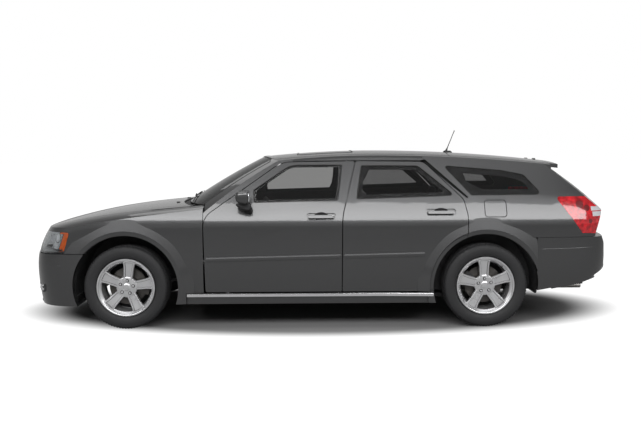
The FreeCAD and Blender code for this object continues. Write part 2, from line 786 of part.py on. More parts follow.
# Front bumper with its lower opening, and the grille.
nose_zone = slab(-2600, -2000, -1000, 1000, 196, 1000)
bumper = common(front_body(-4), slab(-2600, -2000, -1000, 1000, 196, 646))
bumper = minus(bumper, front_body(56))
bumper = minus(bumper, lamp_clear, other_side(lamp_clear))
MOUTH = [(-560, 300, 30), (560, 300, 30), (590, 392, 30), (-590, 392, 30)]
bumper = minus(bumper, end_prism(outline(MOUTH), -2600, -2200), front_hole, other_side(front_hole))
chin = common(plan_prism(outline([(-2470, -600, 90), (-2300, -812, 60), (-2060, -850, 0), (-2060, 850, 0),
                                  (-2300, 812, 60), (-2470, 600, 90)]), 196, 214))
chin = minus(chin, front_hole, other_side(front_hole))
node(fixed(bumper.fuse(chin)), "front_bumper")

GRILLE = [(-424, 652, 20), (424, 652, 20), (424, 830, 20), (-424, 830, 20)]
nose_grille = front_body(14)
nose_deep = front_body(50)
grille_zone = common(end_prism(outline(GRILLE), -2600, -2200), front_body(4))
frame = minus(grille_zone, end_prism(grown(outline(GRILLE), -26), -2700, -2100), nose_deep)
bars = frame
for k in range(5):
    z = 686 + 27 * k
    bar = common(slab(-2600, -2200, -410, 410, z, z + 11), nose_grille)
    bars = bars.fuse(minus(bar, nose_deep))
for y in (-260, 0, 260):
    post = common(slab(-2600, -2200, y - 8, y + 8, 670, 812), nose_grille)
    bars = bars.fuse(minus(post, nose_deep))
mouth_zone = common(end_prism(outline(MOUTH), -2600, -2200), front_body(22))
mouth_bars = None
for k in range(3):
    z = 312 + 27 * k
    bar = common(slab(-2600, -2200, -600, 600, z, z + 9), mouth_zone)
    bar = minus(bar, nose_deep)
    mouth_bars = bar if mouth_bars is None else mouth_bars.fuse(bar)
for y in (-300, 0, 300):
    post = minus(common(slab(-2600, -2200, y - 6, y + 6, 290, 400), mouth_zone), nose_deep)
    mouth_bars = mouth_bars.fuse(post)
node(grouped([fixed(bars), fixed(mouth_bars)]), "grille")

# Roof with its sunroof opening, windscreen, side rear windows.
roof_plan = plan_prism(roof_outline(s.roof_rear, s.roof_side), 1000, 1800)
roof_plan_front = roof_outline(-100, s.roof_side + 280)
roof = patch(roof_face, Vector(0, 0, -s.roof_wall), roof_plan)
SUNROOF = [(-205, -430, 50), (290, -430, 50), (290, 430, 50), (-205, 430, 50)]
sunroof_hole = plan_prism(outline(SUNROOF))
roof = roof.cut(sunroof_hole)
for y in (-s.gate_hinge_y, s.gate_hinge_y):
    roof = roof.cut(along_y(s.eye_radius + 5, s.gate_hinge_x, y - s.gate_eye_half - 1, y + s.gate_eye_half + 1, s.gate_hinge_z))
    roof = roof.fuse(hinge_lugs(s.gate_hinge_x, y, s.gate_hinge_z, s.gate_eye_half, s.roof_rear - 18, s.gate_hinge_z - 18))
node(fixed(roof), "roof_panel")
sunroof = minus(common(plan_prism(grown(outline(SUNROOF), -s.seat_gap)), under(roof_face, 1)), under(roof_face, 8))
screen = patch(screen_face.translated(Vector(0, 0, -3)), Vector(0, 0, -s.glass_thickness), screen_prism)
screen = minus(screen, plan_prism(roof_plan_front, 900, 1800).translated(Vector(-0.8, 0, 0)), slab(-1500, -900, -900, 900, 800, 1046))
node(fixed(screen), "windscreen")
quarter = minus(common(side_prism(grown(outline(QUARTER_GLASS), -s.seat_gap)), inside_left(s.glass_depth)),
                inside_left(s.glass_depth + s.glass_thickness))
node(grouped([fixed(quarter), fixed(other_side(quarter)), fixed(sunroof)]), "fixed_glass")

# Tailgate, its window and spoiler; tail lamps; rear bumper.
gate_plan = end_prism(outline(GATE_END), 2008, 2700)
gate_low = patch(gate_face, Vector(-s.gate_wall, 0, 0), gate_plan, under(back_face))
gate_top = patch(back_face, Vector(0, 0, -s.gate_wall), gate_plan, ahead(gate_face), slab(2008, 2600, -800, 800, 900, 1600))
gate = gate_low.fuse(gate_top)
BACK_GLASS = [(-560, 1070, 40), (560, 1070, 40), (500, 1362, 50), (-500, 1362, 50)]
back_prism = end_prism(outline(BACK_GLASS), 2030, 2700)
gate = gate.cut(common(back_prism, minus(slab(2030, 2700, -800, 800, 1000, 1500), under(back_face, 80))))
spoiler = common(slab(2008, 2088, -585, 585, 1200, 1500), under(roof_face), minus(slab(1900, 2300, -700, 700, 1100, 1500),
                 under(back_face, 12)))
spoiler = spoiler.cut(common(slab(2030, 2300, -900, 900, 1100, 1500), under(roof_face, 34)))
PLATE = [(-270, 800, 20), (270, 800, 20), (262, 935, 20), (-262, 935, 20)]
dent = common(end_prism(outline(PLATE), 2300, 2700), minus(slab(2300, 2700, -400, 400, 700, 1000), ahead(gate_face, 24)))
gate = gate.cut(dent)
for y in (-89, 89):
    gate = gate.cut(Part.makeCylinder(3.5, 260, Vector(2300, y, 900), X_AXIS))
lamp_clear_rear = side_prism(grown(outline(TAIL_SIDE), gap), -1100, -600)
gate = minus(gate.fuse(spoiler), lamp_clear_rear, other_side(lamp_clear_rear))
for y in (-s.gate_hinge_y, s.gate_hinge_y):
    for start in (y - s.gate_eye_half - 20, y + s.gate_eye_half):
        gate = gate.cut(along_y(s.eye_radius + 5, s.gate_hinge_x, start, start + 20, s.gate_hinge_z))
    gate = gate.cut(along_y(s.pin_radius + s.pin_gap, s.gate_hinge_x, y - 40, y + 40, s.gate_hinge_z))
    gate = gate.fuse(hinge_eye(s.gate_hinge_x, y, s.gate_hinge_z, s.gate_eye_half))
node(fixed(gate), "tailgate")
gate_glass = minus(common(end_prism(grown(outline(BACK_GLASS), -s.seat_gap), 2030, 2700), under(back_face, 3)), under(back_face, 3 + s.glass_thickness))
gate_glass = common(gate_glass, ahead(gate_face), slab(2030, 2700, -800, 800, 1000, 1400))
node(fixed(gate_glass), "tailgate_glass")

tail_zone = side_prism(outline(TAIL_SIDE), -1100, -648)
tail = common(tail_zone, left, ahead(gate_face), under(back_face, 2))
tail = minus(tail, gate_prism, common(inside_left(46), ahead(gate_face, 46), under(back_face, 40)))
node(grouped([fixed(tail), fixed(other_side(tail))]), "tail_lamps")

back_zone = common(slab(1824, 2600, -1000, 1000, 291, 766), inside_left(-4), inside_right(-4), ahead(bumper_face))
rear_bumper = minus(back_zone, common(slab(1700, 2443, -1000, 1000, 200, 740), inside_left(56), inside_right(56),
                                      ahead(bumper_face, 60)), rear_hole, other_side(rear_hole))
rear_bumper = minus(rear_bumper, slab(1700, 1960, -1100, 1100, 0, 300))
# Nothing of the bumper reaches into the load space above the floor.
rear_bumper = minus(rear_bumper, common(slab(1700, s.load_rear + 10, -1000, 1000, 735, 800),
                                        inside_left(56), inside_right(56)))
node(fixed(rear_bumper), "rear_bumper")

# Wheels. The rim is turned and then windowed; its outer face looks towards -Y.


def plane(body, role):
    for feature in body.Origin.OriginFeatures:
        if feature.Role == role:
            return feature
    raise ValueError(role)


def sketch_on(body, role, name):
    sketch = body.newObject("Sketcher::SketchObject", name)
    sketch.AttachmentSupport = (plane(body, role), [""])
    sketch.MapMode = "FlatFace"
    return sketch


def value_of(text):
    """The number that an expression in alias names stands for."""
    probe = doc.getObject("probe") or doc.addObject("App::FeaturePython", "probe")
    if "answer" not in probe.PropertiesList:
        probe.addProperty("App::PropertyFloat", "answer")
    probe.setExpression("answer", words(text))
    probe.recompute()
    return float(probe.answer)


def polygon(sketch, corners):
    """A closed loop of lines whose corners are fixed by expressions."""
    points = [Vector(value_of(a), value_of(b), 0) for a, b in corners]
    count = len(points)
    for i in range(count):
        sketch.addGeometry(Part.LineSegment(points[i], points[(i + 1) % count]))
    for i in range(count):
        sketch.addConstraint(Sketcher.Constraint("Coincident", i, 2, (i + 1) % count, 1))
    for i in range(count):
        for kind, text, number in (("DistanceX", corners[i][0], points[i].x), ("DistanceY", corners[i][1], points[i].y)):
            index = sketch.addConstraint(Sketcher.Constraint(kind, -1, 1, i, 1, number))
            sketch.setExpression("Constraints[%d]" % index, words(text))


wheel = doc.addObject("PartDesign::Body", "wheel")
barrel_sketch = sketch_on(wheel, "YZ_Plane", "barrel_sketch")
rw = "rim_half_width"
polygon(barrel_sketch, [
    ("-" + rw, "rim_lip_radius - 12"), ("-" + rw, "rim_lip_radius"), ("-%s + 8" % rw, "rim_lip_radius"),
    ("-%s + 12" % rw, "bead_radius"), ("-%s + 54" % rw, "bead_radius - 3"), ("-%s + 84" % rw, "bead_radius - well_depth"),
    ("%s - 34" % rw, "bead_radius - well_depth + 6"), ("%s - 12" % rw, "bead_radius"), ("%s - 8" % rw, "rim_lip_radius"),
    (rw, "rim_lip_radius"), (rw, "rim_lip_radius - 12"), ("%s - 6" % rw, "bead_radius - rim_wall - 1"),
    ("%s - 34" % rw, "bead_radius - well_depth + 6 - rim_wall"), ("-%s + 82" % rw, "bead_radius - well_depth - rim_wall"),
    ("-%s + 52" % rw, "bead_radius - 3 - rim_wall"), ("-%s + 14" % rw, "bead_radius - rim_wall - 3")])
barrel = wheel.newObject("PartDesign::Revolution", "barrel")
barrel.Profile = barrel_sketch
barrel.ReferenceAxis = (barrel_sketch, ["H_Axis"])
barrel.Angle = 360
doc.recompute()
spoke_sketch = sketch_on(wheel, "YZ_Plane", "spoke_sketch")
polygon(spoke_sketch, [
    ("-%s + 10" % rw, "bead_radius - 9"), ("-%s + 12" % rw, "window_outer - 4"), ("-hub_face - 15", "window_inner + 44"),
    ("-hub_face - 5", "window_inner - 4"), ("-hub_face", "lug_circle + 18"), ("-hub_face", "cap_radius + 3"),
    ("-hub_face - 4", "cap_radius"), ("-hub_face - 8", "cap_radius - 6"), ("-hub_face - 9", "0"),
    ("-hub_face + 12", "0"), ("-hub_face + 12", "stub_radius + bore_gap"),
    ("-hub_face + 40", "stub_radius + bore_gap"), ("-hub_face + 40", "hat_radius"),
    ("-hub_face + spoke_back", "hat_radius + 8"), ("-hub_face + spoke_back", "bead_radius - 9")])
spokes = wheel.newObject("PartDesign::Revolution", "spokes")
spokes.Profile = spoke_sketch
spokes.ReferenceAxis = (spoke_sketch, ["H_Axis"])
spokes.Angle = 360
doc.recompute()


def at_angle(radius, degrees):
    turn = math.radians(degrees)
    return radius * math.sin(turn), radius * math.cos(turn)


half_turn = 180 / s.spoke_count
outer_a = at_angle(s.window_outer, half_turn - s.window_half_angle)
outer_b = at_angle(s.window_outer, half_turn + s.window_half_angle)
foot = math.degrees(s.window_foot / s.window_inner)
inner_a = at_angle(s.window_inner, half_turn - foot)
inner_b = at_angle(s.window_inner, half_turn + foot)
top_a = at_angle(s.window_outer + 5, half_turn - 8)
top_b = at_angle(s.window_outer + 5, half_turn + 8)
window = outline([(*inner_a, 10), (*outer_a, 20), (*top_a, 60), (*top_b, 60), (*outer_b, 20), (*inner_b, 10)])
window_face = Part.Face(window)
window_face.Placement = Placement(Vector(0, -s.rim_half_width - 10, 0), SIDE_VIEW)
window_shape = window_face.extrude(Vector(0, s.rim_half_width + 10 - s.hub_face + s.spoke_back + 8, 0))
cutters = []
for k in range(int(s.spoke_count)):
    piece = fixed(window_shape, "window")
    piece.Placement = Placement(Vector(0, 0, 0), Rotation(Y_AXIS, k * 360 / s.spoke_count))
    cutters.append(piece)
    pocket = rod("lug_pocket", "60", "lug_circle * sin(%d * 360 / spoke_count)" % k, "-hub_face + 20 - 60",
                 "lug_circle * cos(%d * 360 / spoke_count)" % k, "y")
    cutters.append(pocket)
rim = less(wheel, grouped(cutters), "rim")

nuts = []
for k in range(int(s.spoke_count)):
    nut = doc.addObject("Part::Prism", "nut")
    nut.Polygon = 6
    bind(nut, "Circumradius", "lug_across")
    bind(nut, "Height", "lug_height + 8")
    nut.Placement = Placement(Vector(0, 0, 0), Rotation(X_AXIS, -90))
    place(nut, "lug_circle * sin(%d * 360 / spoke_count)" % k, "-hub_face + 22 - lug_height - 8", "lug_circle * cos(%d * 360 / spoke_count)" % k)
    nut.Placement.Rotation = Rotation(X_AXIS, -90)
    nuts.append(nut)
hat = less(rod("hat_radius", "hub_face - 40 + 8", 0, "-hub_face + 40", 0, "y"),
           rod("stub_radius + bore_gap", "200", 0, "-100", 0, "y"))
ring = less(rod("disc_radius", "disc_thick", 0, "-hub_face + 60", 0, "y"),
            rod("stub_radius + bore_gap", "200", 0, "-100", 0, "y"))
wheel_core = joined([rim, hat, ring] + nuts, "wheel_core")

# Tyre profile: tread, rounded shoulders, bulged sidewalls and beads on the rim seats.
tyre_half = s.tyre_width / 2
seat = s.bead_radius + 0.4


def tyre_section():
    def p(y, r):
        return Vector(0, y, r)
    r = s.tyre_radius
    out = []
    for side in (-1, 1):
        out.append(Part.Arc(p(side * (tyre_half - 26), r), p(side * (tyre_half - 9), r - 8),
                            p(side * (tyre_half - 1), r - 28)).toShape())
        out.append(Part.Arc(p(side * (tyre_half - 1), r - 28), p(side * tyre_half, r - 60),
                            p(side * (s.rim_half_width - s.bead_top), s.rim_lip_radius + 3)).toShape())
        out.append(Part.LineSegment(p(side * (s.rim_half_width - s.bead_top), s.rim_lip_radius + 3),
                                    p(side * (s.rim_half_width - s.bead_toe), seat)).toShape())
        out.append(Part.LineSegment(p(side * (s.rim_half_width - s.bead_toe), seat),
                                    p(side * (s.rim_half_width - 30), seat)).toShape())
        out.append(Part.LineSegment(p(side * (s.rim_half_width - 30), seat),
                                    p(side * (tyre_half - 12), s.rim_lip_radius + 22)).toShape())
        out.append(Part.LineSegment(p(side * (tyre_half - 12), s.rim_lip_radius + 22),
                                    p(side * (tyre_half - 30), r - 16)).toShape())
    out.append(Part.LineSegment(p(-(tyre_half - 26), r), p(tyre_half - 26, r)).toShape())
    out.append(Part.LineSegment(p(-(tyre_half - 30), r - 16), p(tyre_half - 30, r - 16)).toShape())
    return Part.Wire(Part.__sortEdges__(out))


tyre_shape = Part.Face(tyre_section()).revolve(Vector(0, 0, 0), Y_AXIS, 360)
tyre = fixed(tyre_shape, "tyre_shape")

CORNERS = {"front_left": ("front_axle", "-half_track", 0, 8), "front_right": ("front_axle", "half_track", 180, 20),
           "rear_left": ("rear_axle", "-half_track", 0, -3), "rear_right": ("rear_axle", "half_track", 180, 30)}
for corner, (axle, side, turn, phase) in CORNERS.items():
    for source, label in ((wheel_core, "wheel_"), (tyre, "tyre_")):
        item = grouped([source])
        spin = Rotation(Z_AXIS, turn).multiply(Rotation(Y_AXIS, phase))
        item.Placement = Placement(Vector(0, 0, 0), spin)
        place(item, axle, side, "wheel_height")
        node(item, label + corner)

# Front knuckles: a carrier with the stub axle, king pins above and below, a steering arm,
# and the brake caliper round the disc.


def sector(radius, length, y, start, sweep):
    item = doc.addObject("Part::Cylinder", "sector")
    bind(item, "Radius", radius)
    bind(item, "Height", length)
    item.Angle = sweep
    spin = Rotation(Y_AXIS, -start - sweep).multiply(Rotation(X_AXIS, -90))
    item.Placement = Placement(Vector(0, 0, 0), spin)
    bind(item, "Placement.Base.y", y)
    return item


def knuckle_parts(caliper_start):
    stub = rod("stub_radius", "hub_face - 12 + 50", 0, "-hub_face + 14", 0, "y")
    carrier = rod("64", "34", 0, "king_inboard - 26", 0, "y")
    post = block("-22", "22", "king_inboard - 22", "king_inboard + 22", "-king_reach + 16", "king_reach - 16")
    pin = rod("king_radius", "2 * king_reach + 30", 0, "king_inboard", "-king_reach - 15")
    caliper = less(less(sector("disc_radius + 28", "78", "-32", caliper_start, 46),
                        sector("disc_radius + 7", "disc_thick + 12", "-hub_face + 54", caliper_start - 5, 56)),
                   sector("disc_radius - 50", "100", "-40", caliper_start - 5, 56))
    turn = math.radians(caliper_start + 23)
    at_x = (s.disc_radius - 35) * math.cos(turn)
    at_z = (s.disc_radius - 35) * math.sin(turn)
    arm = fixed(Part.makeCylinder(24, 150, Vector(0, s.king_inboard - 12, 0), Vector(at_x, 0, at_z)), "arm")
    return [stub, carrier, post, pin, caliper, arm]


knuckle_left = joined(knuckle_parts(-23) + [block("20", "150", "king_inboard - 6", "king_inboard + 14", "-60", "-40")])
knuckle_right = mirrored(knuckle_left)
for source, side, label in ((knuckle_left, "-half_track", "knuckle_left"), (knuckle_right, "half_track", "knuckle_right")):
    item = grouped([source])
    place(item, "front_axle", side, "wheel_height")
    node(item, label)

# Front suspension: subframe, wishbones with eyes for the king pins, strut towers, springs.
pin_y = "half_track - king_inboard"
front_pieces = [block("front_axle - 120", "front_axle + 180", "-360", "360", "190", "235"),
                block("front_axle + 134", "front_axle + 166", "-330", "-300", "230", "262"),
                block("front_axle + 134", "front_axle + 166", "300", "330", "230", "262")]


def eye(z0, high):
    ring_shape = less(rod("king_radius + 19", high, "front_axle", "-(%s)" % pin_y, z0),
                      rod("king_radius + bore_gap", "200", "front_axle", "-(%s)" % pin_y, "%s - 40" % z0))
    return ring_shape


king_low = "wheel_height - king_reach - 15"
king_high = "wheel_height + king_reach - 7"
arm_low = less(block("front_axle - 34", "front_axle + 34", "-(%s)" % pin_y, "-340", king_low, "%s + 22" % king_low),
               rod("king_radius + bore_gap", "200", "front_axle", "-(%s)" % pin_y, "%s - 40" % king_low))
arm_high = less(block("front_axle - 26", "front_axle + 26", "-(%s)" % pin_y, "-478", king_high, "%s + 22" % king_high),
                rod("king_radius + bore_gap", "200", "front_axle", "-(%s)" % pin_y, "%s - 40" % king_high))
front_half = [eye(king_low, "22"), arm_low, eye(king_high, "22"), arm_high,
              rod("30", "330", "front_axle + 60", "-512", "%s + 20" % king_low)]
front_left_set = joined(front_half)
front_right_set = mirrored(front_left_set)
rack = rod("20", "760", "front_axle + 150", "-380", "262", "y")
node(joined([front_left_set, front_right_set, rack] + front_pieces), "front_suspension")

# Rear suspension: subframe, arms, springs, fixed knuckles with stub axles, final drive.
rear_left_set = joined([
    rod("stub_radius", "150", "rear_axle", "-half_track - hub_face + 14", "wheel_height", "y"),
    rod("60", "46", "rear_axle", "-half_track + 40", "wheel_height", "y"),
    block("rear_axle - 30", "rear_axle + 30", "-half_track + 60", "-380", "240", "280"),
    block("rear_axle - 26", "rear_axle + 26", "-half_track + 60", "-380", "430", "462"),
    block("rear_axle - 24", "rear_axle + 24", "-half_track + 60", "-half_track + 100", "240", "462"),
    rod("52", "210", "rear_axle - 20", "-540", "270")])
rear_right_set = mirrored(rear_left_set)
rear_caliper = less(less(sector("disc_radius + 28", "78", "-32", 140, 46),
                         sector("disc_radius + 7", "disc_thick + 12", "-hub_face + 54", 130, 66)),
                    sector("disc_radius - 50", "100", "-40", 130, 66))
rear_caliper_left = grouped([rear_caliper])
place(rear_caliper_left, "rear_axle", "-half_track", "wheel_height")
caliper_arm = block("rear_axle - 150", "rear_axle - 30", "-half_track + 34", "-half_track + 54",
                    "wheel_height - 18", "wheel_height + 18")
rear_frame = joined([block("rear_axle - 170", "rear_axle + 170", "-400", "400", "300", "345"),
                     block("rear_axle - 60", "rear_axle + 60", "-400", "400", "345", "470"),
                     rod("110", "240", "rear_axle", "-120", "wheel_height", "y")])
node(joined([rear_left_set, rear_right_set, rear_frame, rear_caliper_left, mirrored(rear_caliper_left),
             caliper_arm, mirrored(caliper_arm)]), "rear_suspension")

# Floor, tunnel, fire wall, load floor, wheel wells, crash beams and radiator.
low_y = "-745"
floor_sheet = joined([
    block("firewall", "rear_axle - arch_radius - 10", low_y, "745", "floor_low", "floor_low + floor_thick"),
    block("rear_axle - arch_radius - 30", "seat_back_wall + 20", "-rear_well_inner", "rear_well_inner", "floor_low",
          "floor_low + floor_thick"),
    block("firewall - 22", "firewall", "-745", "745", "floor_low", "960"),
    block("firewall - 22", "firewall", "-560", "560", "960", "1005"),
    block("firewall", "seat_back_wall + 20", "-110", "110", "floor_low", "floor_low + 170"),
    block("seat_back_wall", "seat_back_wall + 20", "-rear_well_inner", "rear_well_inner", "floor_low", "load_floor"),
    block("seat_back_wall", "load_rear", "-rear_well_inner", "rear_well_inner", "load_floor", "load_floor + 22"),
    block("load_rear - 20", "load_rear", "-600", "600", "320", "load_floor"),
    block("1880", "load_rear", "-600", "600", "312", "334")])


wells = []
for x, inner in ((s.front_axle, s.front_well_inner), (s.rear_axle, s.rear_well_inner)):
    ring_part = minus(disc(s.liner_radius + 8, x, -s.skin_half_width + 48, -inner), disc(s.arch_radius + 1, x, -1100, -inner + 200))
    wall = common(disc(s.liner_radius + 8, x, -inner, -inner + 10), slab(x - 700, x + 700, -1100, 0, 380 if x < 0 else 240, 1200))
    tall = slab(x - 700, x + 700, -1100, 0, s.sill_top - 30, 1200)
    shell = front_body(s.fender_wall + 29) if x < 0 else inside_left(s.side_wall + 13)
    wells.append(common(ring_part, tall, shell).fuse(common(wall, tall)))
hole_front = slab(s.front_axle - 60, s.front_axle + 200, -600, -300, 150, 560)
wells[0] = wells[0].cut(hole_front)
hole_rear = slab(s.rear_axle - 80, s.rear_axle + 80, -700, -560, 150, 500)
wells[1] = wells[1].cut(hole_rear)
well_pieces = [fixed(wells[0]), fixed(wells[1]), fixed(other_side(wells[0])), fixed(other_side(wells[1]))]
foam = common(slab(-2500, -2369, -420, 420, 410, 480), front_body(56 + s.seat_gap))
rails = [fixed(foam, "foam"), block("-2330", "firewall", "-440", "-380", "360", "450"), block("-2330", "firewall", "380", "440", "360", "450"),
         block("-2370", "-2330", "-620", "620", "330", "480"), block("-2340", "-2300", "-400", "400", "480", "840"),
         block("front_axle - 60", "front_axle + 60", "-478", "-380", "235", "560"),
         block("front_axle - 60", "front_axle + 60", "380", "478", "235", "560"),
         block("2330", "2400", "-620", "620", "480", "585")]
node(joined([floor_sheet] + well_pieces + rails), "floor_pan")

# Engine: one plain block with its gearbox.
node(joined([block("-2060", "-1330", "-280", "280", "300", "850"),
             block("-1330", "-1196", "-150", "150", "300", "620"),
             block("front_axle - 40", "front_axle + 40", "-220", "-170", "235", "300"),
             block("front_axle - 40", "front_axle + 40", "170", "220", "235", "300")]), "engine_block")
node(joined([rod("28", "2420", "-1190", "-230", "floor_low - 28", "x"), rod("95", "340", "1215", "-230", "205", "x"),
             rod("24", "900", "1540", "-230", "230", "x")]), "exhaust")

# Cabin: dashboard, seats, steering wheel.
DASH = [(-1169.7, 640, 0), (-560, 640, 40), (-540, 860, 60), (-640, 985, 60), (-1000, 1005, 0), (-1169.7, 975, 0)]
dash_shape = side_prism(outline(DASH), -715, 715)
steer_line = Rotation(Y_AXIS, 90 - s.steer_tilt).multVec(Z_AXIS)
steer_centre = Vector(s.steer_x, s.steer_y, s.steer_z)
tube_end = steer_centre - steer_line * 62
dash_shape = dash_shape.fuse(Part.makeCylinder(34, 150, tube_end, steer_line * -1))
dash_shape = dash_shape.cut(Part.makeCylinder(20, 260, tube_end + steer_line * 50, steer_line * -1))
node(joined([fixed(dash_shape), block("-700", "40", "-112", "112", "floor_low + 170", "560")]), "dashboard")


def seat_half(x, y, half_wide):
    cushion = side_prism(outline([(x - 260, 330, 30), (x + 230, 300, 20), (x + 250, 430, 30), (x - 270, 480, 50)]),
                         y - half_wide, y + half_wide)
    back = side_prism(outline([(x + 190, 400, 30), (x + 310, 380, 30), (x + 430, 960, 50), (x + 330, 990, 50)]),
                      y - half_wide, y + half_wide)
    head = side_prism(outline([(x + 348, 1010, 30), (x + 430, 1000, 30), (x + 450, 1150, 40), (x + 366, 1165, 40)]),
                      y - 125, y + 125)
    posts = slab(x + 385, x + 397, y - 60, y - 48, 940, 1020).fuse(slab(x + 385, x + 397, y + 48, y + 60, 940, 1020))
    base = slab(x - 180, x + 200, y - half_wide + 50, y + half_wide - 50, s.floor_low + s.floor_thick, 330)
    return cushion.fuse(back).fuse(head).fuse(posts).fuse(base)


seat_left = fixed(seat_half(-60, -400, 255), "seat")
node(grouped([seat_left, mirrored(seat_left)]), "front_seats")
bench = seat_half(720, -330, 300)
bench_shape = bench.fuse(other_side(bench)).fuse(side_prism(outline([(480, 340, 30), (960, 310, 20), (960, 420, 10),
                                                                     (460, 460, 40)]), -610, 610))
bench_shape = bench_shape.cut(slab(400, 1300, -110, 110, 200, s.floor_low + 170))
node(fixed(bench_shape), "rear_seat")

wheel_ring = doc.addObject("Part::Torus", "steer_ring")
bind(wheel_ring, "Radius1", "steer_radius")
bind(wheel_ring, "Radius2", "steer_grip")
steer_hub = rod("52", "34", 0, 0, "-22")
steer_column = rod("19", "200", 0, 0, "-160")
steer_bars = [block("-steer_radius", "steer_radius", "-17", "17", "-6", "6"),
              block("-17", "17", "-steer_radius", "0", "-6", "6")]
steer_set = joined([wheel_ring, steer_hub, steer_column] + steer_bars, "steer_set")
steering = grouped([steer_set])
steering.Placement = Placement(Vector(0, 0, 0), Rotation(Y_AXIS, 90 - s.steer_tilt).multiply(Rotation(Z_AXIS, 0)))
place(steering, "steer_x", "steer_y", "steer_z")
node(steering, "steering_wheel")

# Mirrors on the front doors, cowl with wipers, antenna.
MIRROR = [(-712, 1066, 30), (-590, 1062, 30), (-598, 1184, 36), (-700, 1186, 40)]
mirror_head = common(side_prism(outline(MIRROR), -1090, -880), slab(-720, -580, -1078, -892, 1050, 1200))
mirror_foot = common(side_prism(outline([(-690, 1076, 8), (-600, 1070, 8), (-600, 1112, 8), (-690, 1116, 8)]), -900, -800),
                     minus(slab(-720, -580, -1000, -700, 1050, 1200), inside_left(-0.3)))
mirror = mirror_head.fuse(mirror_foot)
node(fixed(mirror), "mirror_left")
node(fixed(other_side(mirror)), "mirror_right")

cowl_inner = plan_prism(cowl_arc, 940, 1100).translated(Vector(s.panel_gap, 0, 0))
cowl = common(cowl_inner, under(hood_face, 14), slab(-1300, -1000, -740, 740, 940, 1100))
cowl = cowl.cut(slab(-1192, -900, -800, 800, 900, 1005))
cowl = minus(cowl, common(under(screen_face, 3 + s.glass_thickness), slab(-1400, -600, -900, 900, 1030, 1300)))
cowl = minus(cowl, minus(slab(-1400, -600, -900, 900, 900, 1300), under(screen_face, 3 + s.glass_thickness)).common(
    slab(-1400, -600, -900, 900, 1040, 1300)))
for y in (-s.hood_hinge_y, s.hood_hinge_y):
    room = slab(s.hood_hinge_x - 62, s.hood_hinge_x + s.eye_radius + 5, y - s.hood_eye_half - 1, y + s.hood_eye_half + 1,
                s.hood_hinge_z - 20, 1100)
    cowl = cowl.cut(room).fuse(hinge_lugs(s.hood_hinge_x, y, s.hood_hinge_z, s.hood_eye_half, s.hood_hinge_x + 4, 1008))
node(fixed(cowl), "cowl")

mast_foot = [(1150, -26, 20), (1262, -26, 24), (1262, 26, 24), (1150, 26, 20)]
foot = common(plan_prism(outline(mast_foot), 1440, 1512), minus(slab(1100, 1300, -60, 60, 1400, 1540), under(roof_face)))
mast = Part.makeCone(3.2, 1.6, 196, Vector(1216, 0, 1506), Vector(0.38, 0, 0.925))
node(fixed(foot.fuse(mast)), "antenna")

doc.recompute()
failed = []
for item in doc.Objects:
    for word in item.State:
        if word in ("Invalid", "Error"):
            failed.append("%s is %s" % (item.Label, word))
for item in nodes:
    shape = item.Shape
    if shape.isNull() or not shape.isValid() or not shape.Solids:
        failed.append("%s has no sound shape" % item.Label)
if failed:
    raise RuntimeError("; ".join(failed))
os.makedirs("parts", exist_ok=True)
for item in nodes:
    item.Shape.exportStep("parts/%s.step" % item.Label)
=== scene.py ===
"""Looks of the station wagon: finishes, trim, seats, tyres, lamps, light and camera."""
import math

import bmesh
import bpy
from mathutils import Matrix, Vector
from mathutils.bvhtree import BVHTree


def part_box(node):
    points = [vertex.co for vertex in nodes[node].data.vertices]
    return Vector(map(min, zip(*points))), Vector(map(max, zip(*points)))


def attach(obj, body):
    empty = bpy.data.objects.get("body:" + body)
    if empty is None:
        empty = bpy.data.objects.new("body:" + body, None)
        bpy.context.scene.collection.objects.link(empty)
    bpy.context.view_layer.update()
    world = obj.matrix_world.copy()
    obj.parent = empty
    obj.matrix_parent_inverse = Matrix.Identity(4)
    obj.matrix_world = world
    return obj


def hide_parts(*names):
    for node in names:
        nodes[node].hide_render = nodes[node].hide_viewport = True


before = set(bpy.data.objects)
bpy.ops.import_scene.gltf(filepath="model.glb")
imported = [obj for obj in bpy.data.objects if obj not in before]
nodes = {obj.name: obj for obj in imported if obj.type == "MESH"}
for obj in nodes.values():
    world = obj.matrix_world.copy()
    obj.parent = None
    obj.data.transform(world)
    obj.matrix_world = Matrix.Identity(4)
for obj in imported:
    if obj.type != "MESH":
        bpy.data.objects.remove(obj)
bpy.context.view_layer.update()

SIDES = ("left", "right")
OUTWARD = {"left": -1, "right": 1}
CORNERS = [(end, side) for end in ("front", "rear") for side in SIDES]


# Camera at the photographed place.
CAMERA_PLACE = Vector((-0.080, -7.18, 1.545))
CAMERA_PITCH = 0.0873
CAMERA_YAW = 0.0118
CAMERA_ROLL = -0.0042
FOCAL_PIXELS = 750.7
FRAME_PIXELS = 641
SENSOR_WIDTH = 36


def link(item):
    bpy.context.scene.collection.objects.link(item)
    return item


def add_camera():
    ahead = Vector((math.sin(CAMERA_YAW) * math.cos(CAMERA_PITCH),
                    math.cos(CAMERA_YAW) * math.cos(CAMERA_PITCH), -math.sin(CAMERA_PITCH)))
    level = Vector((math.cos(CAMERA_YAW), -math.sin(CAMERA_YAW), 0))
    up = level.cross(ahead)
    right = math.cos(CAMERA_ROLL) * level + math.sin(CAMERA_ROLL) * up
    top = math.cos(CAMERA_ROLL) * up - math.sin(CAMERA_ROLL) * level
    lens = bpy.data.cameras.new("photo_camera")
    lens.sensor_fit = "HORIZONTAL"
    lens.sensor_width = SENSOR_WIDTH
    lens.lens = FOCAL_PIXELS / FRAME_PIXELS * SENSOR_WIDTH
    lens.dof.use_dof = False
    camera = link(bpy.data.objects.new("photo_camera", lens))
    turn = Matrix((right, top, -ahead)).transposed().to_4x4()
    camera.matrix_world = Matrix.Translation(CAMERA_PLACE) @ turn
    bpy.context.scene.camera = camera


